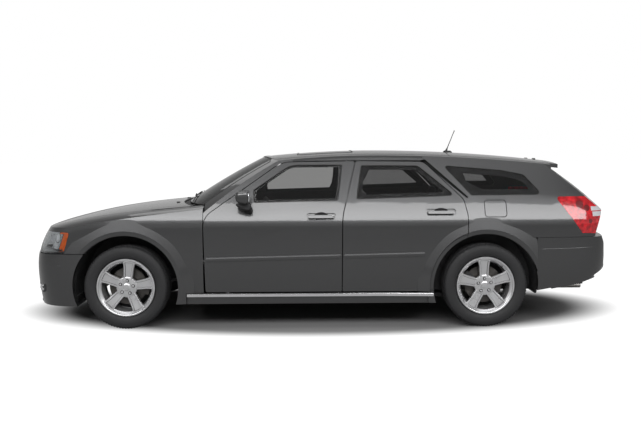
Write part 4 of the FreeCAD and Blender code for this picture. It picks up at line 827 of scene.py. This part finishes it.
def add_seats():
    x, y = -0.060, -0.400
    across = (0, 1, 0)
    tilted = (0.2, 0, 1)
    pads = {}
    for name, corners, y0, y1, radius, swell, lines in (
            ("seat_cushion_left",
             [(x - 0.245, 0.350), (x + 0.230, 0.320), (x + 0.225, 0.415), (x - 0.250, 0.462)],
             y - 0.235, y + 0.235, 0.030, 0.016,
             [(across, y - 0.150), (across, y + 0.150), ((1, 0, 0), x - 0.170)]),
            ("seat_back_left",
             [(x + 0.215, 0.430), (x + 0.300, 0.410), (x + 0.412, 0.935), (x + 0.345, 0.960)],
             y - 0.232, y + 0.232, 0.028, 0.018,
             [(across, y - 0.145), (across, y + 0.145), (tilted, 0.860)]),
            ("seat_head_left",
             [(x + 0.362, 1.028), (x + 0.418, 1.020), (x + 0.434, 1.132), (x + 0.376, 1.145)],
             y - 0.108, y + 0.108, 0.022, 0.012, []),
            ("bench_cushion", [(0.480, 0.345), (0.930, 0.330), (0.935, 0.395), (0.478, 0.440)],
             -0.590, 0.590, 0.026, 0.016, [(across, -0.200), (across, 0.200), ((1, 0, 0), 0.540)]),
            ("bench_back_left", [(0.932, 0.425), (1.010, 0.410), (1.128, 0.930), (1.070, 0.955)],
             -0.610, -0.050, 0.026, 0.016, [(across, -0.330), (tilted, 1.050)])):
        bm = bmesh.new()
        add_slab(bm, corners, y0, y1, radius, 3)
        pads[name] = stuffed(name, bm, swell)
        press_channels(pads[name], lines)
    for name in ("seat_cushion", "seat_back", "seat_head", "bench_back"):
        pads[name + "_right"] = twin_of(pads[name + "_left"], name + "_right")
    head = pads["seat_head_left"]
    pads["bench_head_left"] = twin_of(head, "bench_head_left", False, (0.780, 0.070, 0))
    pads["bench_head_right"] = twin_of(head, "bench_head_right", True, (0.780, -0.070, 0))
    for pad in pads.values():
        settle_pad(pad, "car_body")
    bm = bmesh.new()
    for side in (-1, 1):
        for start_x, start_y in ((x, 0.400), (0.720, 0.330)):
            for away in (-0.054, 0.054):
                foot = Vector((start_x + 0.375, side * start_y + away, 0.920))
                add_tube(bm, [foot, foot + Vector((0.020, 0, 0.140))], 0.006, 12)
        for low, high in ((-0.200, -0.160), (0.160, 0.200)):
            add_block(bm, (x - 0.180, side * 0.400 + low, 0.262), (x + 0.200, side * 0.400 + high, 0.345))
    frames = piece("seat_frames", bm, "car_body", CABIN_PLASTIC, "dark_metal")
    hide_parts("front_seats", "rear_seat")


# Dark borders inside the panes.
BORDER_STEP = 0.015
BORDER_THICK = 0.002


def add_patch(bm, tree, corners, look, lift, thick=0.002, rings=(1.0, 0.8, 0.5, 0.2)):
    """A thin shape laid on a surface; corners are places near it, look points out of the surface."""
    centre = sum(corners, Vector()) / len(corners)
    loops = []
    for scale in rings:
        places = [centre + (corner - centre) * scale for corner in corners]
        loops.append(closed_loop(bm, [onto(tree, place, look, place) + look * lift for place in places]))
    faces = []
    for outer, inner in zip(loops, loops[1:]):
        faces += bmesh.ops.bridge_loops(bm, edges=outer + inner)["faces"]
    faces += bmesh.ops.contextual_create(bm, geom=loops[-1])["faces"]
    thicken(bm, faces, -look * thick)


def add_border(bm, tree, line, look, width, edge=0.002, behind=0.25):
    """A flat frame under a pane, from near its rim line to a width inside it."""
    look = Vector(look).normalized()
    across = look.cross(Vector((0, 0, 1)) if abs(look.z) < 0.95 else Vector((1, 0, 0))).normalized()
    along = look.cross(across).normalized()
    flat = [Vector((point.dot(across), point.dot(along))) for point in line]
    centre = sum(flat, Vector((0, 0))) / len(flat)
    depth = sum(point.dot(look) for point in line) / len(line)
    limits = []
    for one, two in zip(flat, flat[1:] + flat[:1]):
        side = (two - one).normalized()
        out = Vector((side.y, -side.x))
        if out.dot(one - centre) < 0:
            out = -out
        limits.append((out, out.dot(one - centre)))
    loops = []
    for shrink in (edge, width):
        places = []
        for point in flat:
            way = point - centre
            part = min((far - shrink) / out.dot(way) for out, far in limits if out.dot(way) > 1e-4)
            spot = centre + way * min(part, 1)
            start = across * spot.x + along * spot.y + look * (depth - behind)
            places.append(meet(tree, start, look, start + look * behind) - look * 0.0012)
        loops.append(closed_loop(bm, places))
    faces = bmesh.ops.bridge_loops(bm, edges=loops[0] + loops[1])["faces"]
    thicken(bm, faces, -look * BORDER_THICK)


def add_borders():
    for side in SIDES:
        for end, width in (("front", 0.020), ("rear", 0.038)):
            corner = "%s_%s" % (end, side)
            name = "glass_" + corner
            look = (0, OUTWARD[side], 0.2)
            bm = bmesh.new()
            for line in rim_lines(name, side_way):
                add_border(bm, surface_of(name), thin_line(line, BORDER_STEP), look, width)
            piece("pane_border_" + corner, bm, "door_" + corner, *TRIM)
    bm = bmesh.new()
    tree = surface_of("fixed_glass")
    for line in rim_lines("fixed_glass", side_way):
        middle = sum(line, Vector()) / len(line)
        look, width = (0, 0, 1), 0.045
        if abs(middle.y) >= ROOF_HALF:
            look, width = (0, math.copysign(1, middle.y), 0.3), 0.055
        add_border(bm, tree, thin_line(line, BORDER_STEP), look, width)
    piece("fixed_borders", bm, "car_body", *TRIM)
    for name, look, width, body in (("windscreen", SCREEN_LOOK, 0.048, "car_body"),
                                    ("tailgate_glass", BACK_GLASS_LOOK, 0.045, "tailgate")):
        bm = bmesh.new()
        for line in rim_lines(name, lambda middle: look):
            add_border(bm, surface_of(name), thin_line(line, BORDER_STEP), look, width)
        piece(name + "_border", bm, body, *TRIM)


# Weatherstrips that close the slots round the rear doors.
STRIP_ROUTE = [(0.62, 1.438), (0.78, 1.430), (0.856, 1.424), (0.900, 1.406), (0.99, 1.330), (1.10, 1.237),
               (1.20, 1.150), (1.248, 1.100), (1.258, 1.03)]
STRIP_SINK = 0.074


def add_weatherstrips():
    for side in SIDES:
        bm = bmesh.new()
        points = [Vector((x, OUTWARD[side] * (skin(x, z) - STRIP_SINK), z)) for x, z in STRIP_ROUTE]
        add_tube(bm, points, 0.029, 12)
        piece("door_strip_" + side, bm, "car_body", RUBBER, "black_plastic")


# Mirrors: a rounded shell on a black foot, with its glass.
SHELL_MIDDLE = (-0.651, -0.985, 1.124)
SHELL_SIZE = (0.116, 0.182, 0.120)
FOOT_OUTLINE = [(-0.655, 1.085), (-0.705, 1.052), (-0.690, 1.020), (-0.625, 0.972), (-0.578, 0.962),
                (-0.568, 1.000), (-0.600, 1.072)]


def add_mirrors():
    bm = bmesh.new()
    bmesh.ops.create_cube(bm, size=1, matrix=Matrix.Translation(SHELL_MIDDLE)
                          @ Matrix.Diagonal((*SHELL_SIZE, 1)))
    bevel(bm, bm.edges[:], 0.036, 7)
    for vert in bm.verts:
        ahead = (-0.593 - vert.co.x) / SHELL_SIZE[0]
        vert.co.z += 0.018 * ahead * (1 if vert.co.z < SHELL_MIDDLE[2] else -0.55)
        vert.co.y += 0.020 * ahead
        if vert.co.z < 1.10:
            vert.co.x -= 0.10 * (1.10 - vert.co.z) * (1 - ahead)
    for side, made in pair("mirror_shell", bm, "door_front_", *PAINT, 60).items():
        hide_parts("mirror_" + side)
    bm = bmesh.new()
    add_slab(bm, FOOT_OUTLINE, -0.990, -0.868, 0.010, 3, 0.012)
    for vert in bm.verts:
        outer = max((-0.868 - vert.co.y) / 0.122, 0)
        vert.co.z += 0.050 * outer * (1.09 - vert.co.z) / 0.12
        vert.co.x -= 0.030 * outer * (1.09 - vert.co.z) / 0.12
    pair("mirror_foot", bm, "door_front_", *TRIM, 50)
    bm = bmesh.new()
    outline = rounded([(-1.058, 1.085), (-0.912, 1.085), (-0.912, 1.163), (-1.058, 1.163)], 0.030)
    face = bm.faces.new([bm.verts.new((-0.5925, y, z)) for y, z in outline])
    thicken(bm, [face], (-0.004, 0, 0))
    pair("mirror_pane", bm, "door_front_", MIRROR_GLASS, "rim_alloy")


# Doors: gloss black dishes laid in the handle recesses as painted shade, grips and the lock of the handles,
# painted caps on the mouldings.
# Front end, rear end and height of each.
MOULDINGS = {"front": (-0.970, 0.160, 0.577), "rear": (0.194, 0.868, 0.601)}
HANDLES = {"front": (-0.124, 0.124, 0.954), "rear": (0.884, 1.136, 0.984)}
# Height over the moulding's lower edge and distance from the body's skin.
CAP_PROFILE = [(0.002, 0.0080), (0.004, 0.0105), (0.018, 0.0120), (0.024, 0.0120), (0.034, 0.0095),
               (0.0385, 0.0080)]
CAP_RISE = 0.021
DISH_STEPS = 32


def add_door_trim():
    for end in ("front", "rear"):
        door = "door_%s_" % end
        x0, x1, z = HANDLES[end]
        middle = (x0 + x1) / 2
        surface = -skin(middle, z)
        turns = [math.tau * step / DISH_STEPS for step in range(DISH_STEPS)]
        dish = [(middle + 0.062 * math.cos(turn), z + 0.036 * math.sin(turn)) for turn in turns]
        # A gloss black plate in the handle's recess: painted shade behind the grip.
        bm = bmesh.new()
        add_slab(bm, dish, surface + 0.0015, surface + 0.0100, 0.0008, 1)
        pair("handle_dish_" + end, bm, door, GLOSS_BLACK, "black_plastic")
        bm = bmesh.new()
        grip = [(x0 + 0.012, z - 0.0125), (x1 - 0.012, z - 0.0125), (x1 - 0.012, z + 0.0125),
                (x0 + 0.012, z + 0.0125)]
        add_slab(bm, grip, surface - 0.0215, surface - 0.003, 0.006, 3, 0.012)
        for vert in bm.verts:
            away = (vert.co.x - middle) / 0.112
            vert.co.y += 0.010 * away ** 2
            vert.co.z += 0.006 * (1 - away ** 2) * (1 if vert.co.z > z else 0.4)
        pair("handle_grip_" + end, bm, door, *PAINT)
        if end == "front":
            bm = bmesh.new()
            add_turned(bm, [(0, 0.002), (0.0065, 0.002), (0.0085, 0.000), (0.0085, -0.010)],
                       (x1 - 0.024, -skin(x1, z) - 0.0175, z + 0.001), (0, -1, 0), 24)
            pair("door_lock", bm, "door_front_", *BRIGHT)
        x0, x1, z = MOULDINGS[end]
        sections = []
        for x in (x0, (x0 + x1) / 2, x1):
            profile = [(z + CAP_RISE * (x - x0) + up, proud) for up, proud in CAP_PROFILE]
            sections.append([(x, -skin(x, height) - proud, height) for height, proud in profile])
        bm = bmesh.new()
        add_loft(bm, sections)
        pair("moulding_cap_" + end, bm, door, *PAINT, 12)


# Bright chrome strips along the sill ledges, a painted highlight where the body-coloured ledge catches the
# light; a profile is (height, distance from the sill).
LEDGE_PROFILE = [(0.278, -0.002), (0.278, 0.006), (0.294, 0.0075), (0.302, 0.0035), (0.302, -0.004)]


def add_sill_highlight_strips():
    tree = surface_of("body_side_left")
    sections = []
    for x in (-1.135, -0.9, -0.5, 0.0, 0.5, 0.945):
        sections.append([(x, from_left(tree, x, z, Vector((x, -skin(x, z), z))).y - proud, z)
                         for z, proud in LEDGE_PROFILE])
    bm = bmesh.new()
    add_loft(bm, sections)
    # Chrome strips as a painted highlight on the sill ledges.
    pair("sill_highlight_strip", bm, "car_body", *BRIGHT, 40)


# Bumpers: the rear one's lower edge rises, both have a raised line, the front one has lamp pockets.
def reshaped(name, label, body, material, slot, move):
    """A merged copy of a node with its points moved, in the node's place."""
    bm = bmesh.new()
    bm.from_mesh(nodes[name].data)
    bmesh.ops.remove_doubles(bm, verts=bm.verts, dist=1e-5)
    for vert in bm.verts:
        move(vert.co)
    made = piece(label, bm, body, material, slot, 30)
    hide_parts(name)


def raise_tail(spot):
    start, bend = 1.75, 2.18
    lift = 0.163 * max(min(spot.x, bend) - start, 0) + 0.30 * max(spot.x - bend, 0)
    spot.z += lift * max(min((0.64 - spot.z) / 0.34, 1), 0)


def add_bumper_details():
    reshaped("rear_bumper", "shaped_rear_bumper", "car_body", *PAINT, raise_tail)
    for name, x0, x1, z0, z1 in (("rear_bumper", 1.865, 2.330, 0.668, 0.676),
                                 ("front_bumper", -2.335, -2.195, 0.543, 0.546)):
        tree = surface_of(name)
        parts = [step / 12 for step in range(13)]
        spots = [from_left(tree, x0 + (x1 - x0) * part, z0 + (z1 - z0) * part) for part in parts]
        bm = bmesh.new()
        add_tube(bm, [spot + Vector((0, 0.0015, 0)) for spot in spots if spot], 0.0042, 8)
        pair(name + "_line", bm, "car_body", *PAINT, 60)
    tree = surface_of("front_bumper")
    bm = bmesh.new()
    look = Vector((-0.62, -0.78, 0)).normalized()
    across = Vector((0.78, -0.62, 0)).normalized()
    middle = from_left(tree, -2.397, 0.345, Vector((-2.397, -0.80, 0.345)))
    outline = rounded([(-0.070, 0.040), (0.075, 0.034), (0.060, -0.030), (0.010, -0.044),
                       (-0.060, -0.040)], 0.016)
    corners = [middle + across * point.x + Vector((0, 0, point.y)) for point in outline]
    add_patch(bm, tree, corners, look, 0.0015)
    pair("fog_pocket", bm, "car_body", *TRIM)
    bm = bmesh.new()
    add_turned(bm, [(0.030, -0.004), (0.030, 0.004), (0.026, 0.007), (0.022, 0.004), (0.010, 0.001), (0, 0)],
               onto(tree, middle, look, middle) + look * 0.0005, look, 28)
    pair("fog_lamp", bm, "car_body", *BRIGHT)


# Antenna, wipers, inner mirror and washer jets.
# A profile is (radius, distance along the mast).
MAST_PROFILE = [(0.0105, 0), (0.0085, 0.020), (0.0050, 0.030), (0.0038, 0.060), (0.0034, 0.200),
                (0.0050, 0.203), (0.0045, 0.209), (0, 0.211)]
BLADE_LIFT = 0.010
PIVOT_HEIGHT = 1.052


def add_antenna():
    bm = bmesh.new()
    add_slab(bm, [(1.176, 1.481), (1.262, 1.478), (1.248, 1.494), (1.190, 1.497)],
             -0.017, 0.017, 0.006, 3, 0.008)
    add_turned(bm, MAST_PROFILE, (1.206, 0, 1.490), (0.40, 0, 1), 16)
    mast = piece("roof_antenna", bm, "car_body", *TRIM, 50)
    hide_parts("antenna")


def blade_line(source, start, end, height, look, steps):
    """Places over a pane from start to end, both (x, y)."""
    tree = surface_of(source)
    blade = []
    for part in [step / steps for step in range(steps + 1)]:
        x, y = (one * (1 - part) + two * part for one, two in zip(start, end))
        spot = onto(tree, Vector((x, y, height)), look)
        if spot:
            blade.append(spot + look * BLADE_LIFT)
    return blade


def add_wipers():
    look = SCREEN_LOOK.normalized()
    bm = bmesh.new()
    for start, end, pivot in (((-1.140, -0.66), (-1.075, -0.06), (-1.165, -0.10)),
                              ((-1.150, 0.02), (-1.085, 0.56), (-1.170, 0.58))):
        blade = blade_line("windscreen", start, end, 1.05, look, 8)
        if len(blade) > 3:
            add_tube(bm, blade, 0.0055, 8)
            middle = blade[len(blade) // 2]
            foot = Vector((*pivot, PIVOT_HEIGHT))
            add_tube(bm, [foot, (middle + foot) / 2 + look * 0.016, middle + look * 0.012], 0.007, 8)
    piece("front_wipers", bm, "car_body", *TRIM, 50)
    look = BACK_GLASS_LOOK.normalized()
    bm = bmesh.new()
    blade = blade_line("tailgate_glass", (2.385, -0.02), (2.365, 0.34), 1.12, look, 6)
    if len(blade) > 3:
        add_tube(bm, blade, 0.006, 8)
        add_tube(bm, [Vector((2.405, 0, 1.098)), blade[3] + look * 0.014], 0.008, 8)
    piece("rear_wiper", bm, "tailgate", *TRIM, 50)


def add_inner_mirror():
    bm = bmesh.new()
    add_block(bm, (-0.535, -0.125, 1.300), (-0.508, 0.125, 1.368), 0.012, 3)
    add_tube(bm, [(-0.522, 0, 1.350), (-0.540, 0, 1.385), (-0.560, 0, 1.396)], 0.009, 10)
    piece("inner_mirror", bm, "car_body", *TRIM)
    bm = bmesh.new()
    add_block(bm, (-0.5085, -0.116, 1.307), (-0.5065, 0.116, 1.361), 0.0008, 1)
    piece("inner_mirror_glass", bm, "car_body", MIRROR_GLASS, "rim_alloy")


def add_washer_jets():
    tree = surface_of("bonnet")
    bm = bmesh.new()
    for y in (-0.30, 0.30):
        spot = meet(tree, (-1.300, y, 2), (0, 0, -1), Vector((-1.300, y, 1.03)))
        add_block(bm, spot + Vector((-0.016, -0.009, -0.004)), spot + Vector((0.016, 0.009, 0.008)))
    piece("washer_jets", bm, "bonnet", *TRIM)


# Blank plate and the ribbed cover of the engine.
def add_small_parts():
    tree = surface_of("tailgate")
    behind = 3
    spot = meet(tree, (behind, 0, 0.868), (-1, 0, 0), Vector((2.46, 0, 0.868)))
    bm = bmesh.new()
    add_block(bm, (spot.x - 0.001, -0.152, 0.806), (spot.x + 0.003, 0.152, 0.930), 0.001, 1)
    for vert in bm.verts:
        face = meet(tree, (behind, vert.co.y * 0.9, vert.co.z), (-1, 0, 0), spot)
        vert.co.x += face.x - spot.x
    piece("blank_plate", bm, "tailgate", PLATE, "rim_alloy", 40)
    low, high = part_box("engine_block")
    bm = bmesh.new()
    x0, x1 = low.x + 0.08, high.x - 0.30
    add_block(bm, (x0, -0.200, high.z - 0.010), (x1, 0.200, high.z + 0.010), 0.007, 3)
    for count in range(6):
        y = -0.150 + 0.060 * count
        add_block(bm, (x0 + 0.04, y - 0.010, high.z + 0.006), (x1 - 0.04, y + 0.010, high.z + 0.013),
                  0.002, 1)
    piece("engine_cover", bm, "car_body", *TRIM, 40)


# Cabin: headlining, door cards with armrests and handles, gauge hood and gear lever.
# A profile is (radius, distance along the lever).
LEVER_PROFILE = [(0.030, 0), (0.026, 0.010), (0.012, 0.060), (0.009, 0.075), (0.009, 0.110), (0.021, 0.118),
                 (0.024, 0.140), (0.016, 0.156), (0, 0.160)]
HEAD_HEIGHT = 1.2
LINING_GAP = 0.010


def add_headlining():
    roof = surface_of("roof_panel")
    glass = surface_of("fixed_glass")
    bm = bmesh.new()
    bmesh.ops.create_grid(bm, x_segments=46, y_segments=20, size=0.5, matrix=Matrix.Translation(
        (0.78, 0, HEAD_HEIGHT)) @ Matrix.Diagonal((2.30, 1.10, 1, 1)))
    away = []
    for vert in bm.verts:
        above = meet(roof, (vert.co.x, vert.co.y, HEAD_HEIGHT), (0, 0, 1))
        pane = meet(glass, (vert.co.x, vert.co.y, HEAD_HEIGHT), (0, 0, 1))
        if above is None or pane is not None:
            away.append(vert)
        else:
            vert.co.z = above.z - LINING_GAP
    bmesh.ops.delete(bm, geom=away, context="VERTS")
    thicken(bm, bm.faces[:], (0, 0, -0.004))
    piece("headlining", bm, "car_body", HEADLINING, "dash_plastic", 60)


def add_cabin():
    add_headlining()
    for end, x0, x1, lean0, lean1 in (("front", -0.900, 0.225, 0.16, 0.02),
                                      ("rear", 0.300, 0.960, 0.0, 0.08)):
        tree = surface_of("door_%s_left" % end)
        inside = meet(tree, ((x0 + x1) / 2, -0.35, 0.80), (0, -1, 0), Vector((0, -0.80, 0))).y
        card = [(x0, 0.420), (x1, 0.420), (x1 + lean1, 1.030), (x0 + lean0, 1.030)]
        armrest = [(x0 + 0.22, 0.690), (x1 - 0.04, 0.715), (x1 - 0.04, 0.765), (x0 + 0.22, 0.750)]
        pocket = [(x0 + 0.10, 0.445), (x1 - 0.12, 0.445), (x1 - 0.16, 0.560), (x0 + 0.14, 0.560)]
        handle = [(x0 + 0.12, 0.868), (x0 + 0.24, 0.868), (x0 + 0.24, 0.892), (x0 + 0.12, 0.892)]
        bm = bmesh.new()
        add_slab(bm, card, inside + 0.001, inside + 0.016, 0.005, 2, 0.05)
        add_slab(bm, armrest, inside + 0.010, inside + 0.052, 0.012, 3, 0.02)
        add_slab(bm, pocket, inside + 0.010, inside + 0.040, 0.010, 3, 0.03)
        pair("door_card_" + end, bm, "door_%s_" % end, CABIN_PLASTIC, "dash_plastic", 40)
        bm = bmesh.new()
        add_slab(bm, handle, inside + 0.014, inside + 0.026, 0.004, 2, 0.010)
        pair("inner_handle_" + end, bm, "door_%s_" % end, ALLOY, "rim_alloy", 40)
    bm = bmesh.new()
    add_slab(bm, [(-0.780, 1.000), (-0.600, 0.985), (-0.585, 1.030), (-0.640, 1.050), (-0.770, 1.040)],
             -0.540, -0.200, 0.014, 3, 0.02)
    piece("gauge_hood", bm, "car_body", CABIN_PLASTIC, "dash_plastic", 50)
    bm = bmesh.new()
    add_turned(bm, LEVER_PROFILE, (-0.330, 0, 0.560), (-0.1, 0, 1), 24)
    piece("gear_lever", bm, "car_body", LEATHER, "wheel_grip", 50)


# Floor, backdrop and light.
def seen_rays(tree):
    """Outputs of the light path, and 1 for rays that the camera sees straight, mirrored or through glass."""
    path = add_node(tree, "LightPath").outputs
    through = maths(tree, "MAXIMUM", path["Is Glossy Ray"], path["Is Transmission Ray"])
    return path, maths(tree, "MAXIMUM", path["Is Camera Ray"], through)


def add_floor():
    bm = bmesh.new()
    bmesh.ops.create_grid(bm, x_segments=1, y_segments=1, size=60)
    floor = object_of("studio_floor", bm)
    paper, tree, shader = new_material("floor_paper", {
        "Base Color": (0.20, 0.20, 0.20, 1), "Roughness": 1, "Specular IOR Level": 0,
        "Emission Color": (1, 1, 1, 1)})
    path, seen = seen_rays(tree)
    # Painted shadow: in an oval round the car the floor has no glow, so its dark colour shows there as well
    # as in the car's real shadow.
    painted_shadow_oval = vector_maths(tree, "MULTIPLY", place_of(tree), (1 / 2.70, 1 / 1.16, 0))["Vector"]
    reach = vector_maths(tree, "LENGTH", painted_shadow_oval)["Value"]
    away = map_range(tree, reach, (0.86, 1.12), kind="SMOOTHSTEP")
    shine = map_range(tree, path["Is Glossy Ray"], target_range=(1.0, 0.20))
    tree.links.new(all_of(tree, [seen, shine, away]), shader.inputs["Emission Strength"])
    floor.data.materials.append(paper)


def add_world():
    world = bpy.data.worlds.new("studio")
    bpy.context.scene.world = world
    world.use_nodes = True
    tree = world.node_tree
    path, seen = seen_rays(tree)
    height = add_node(tree, "SeparateXYZ", {"Vector": add_node(tree, "TexCoord").outputs["Generated"]})
    paper = map_range(tree, height.outputs["Z"], (0.0, 0.5), (0.5, 0.22))
    bright = add_node(tree, "Background", {
        "Color": (1, 1, 1, 1), "Strength": maths(tree, "MAXIMUM", path["Is Camera Ray"], paper)})
    dim = tree.nodes["Background"]
    dim.inputs["Color"].default_value = (0.25, 0.25, 0.25, 1)
    dim.inputs["Strength"].default_value = 1
    mix = add_node(tree, "MixShader", {
        "Fac": seen, 1: dim.outputs["Background"], 2: bright.outputs["Background"]})
    tree.links.new(mix.outputs["Shader"], tree.nodes["World Output"].inputs["Surface"])


def add_stage():
    add_floor()
    add_world()
    for name, place, size, power in (
            ("roof_softbox", (0.0, -1.0, 4.4), (7.0, 2.0), 90),
            ("side_softbox", (0.0, -6.0, 4.6), (16.0, 2.6), 720),
            ("far_softbox", (0.0, 5.5, 5.0), (8.0, 1.6), 30)):
        lamp = bpy.data.lights.new(name, "AREA")
        lamp.shape = "RECTANGLE"
        lamp.size, lamp.size_y = size
        lamp.energy = power
        holder = link(bpy.data.objects.new(name, lamp))
        toward = (Vector((0, 0, 0.7)) - Vector(place)).to_track_quat("-Z", "Y")
        holder.matrix_world = Matrix.Translation(place) @ toward.to_matrix().to_4x4()
    bpy.context.scene.view_settings.view_transform = "Standard"


add_camera()
dress_nodes()
dress_lamps()
add_seals()
add_borders()
add_weatherstrips()
add_mirrors()
add_door_trim()
add_sill_highlight_strips()
add_bumper_details()
add_antenna()
add_wipers()
add_inner_mirror()
add_washer_jets()
add_small_parts()
add_cabin()
add_tyres()
add_wheels()
add_seats()
add_stage()
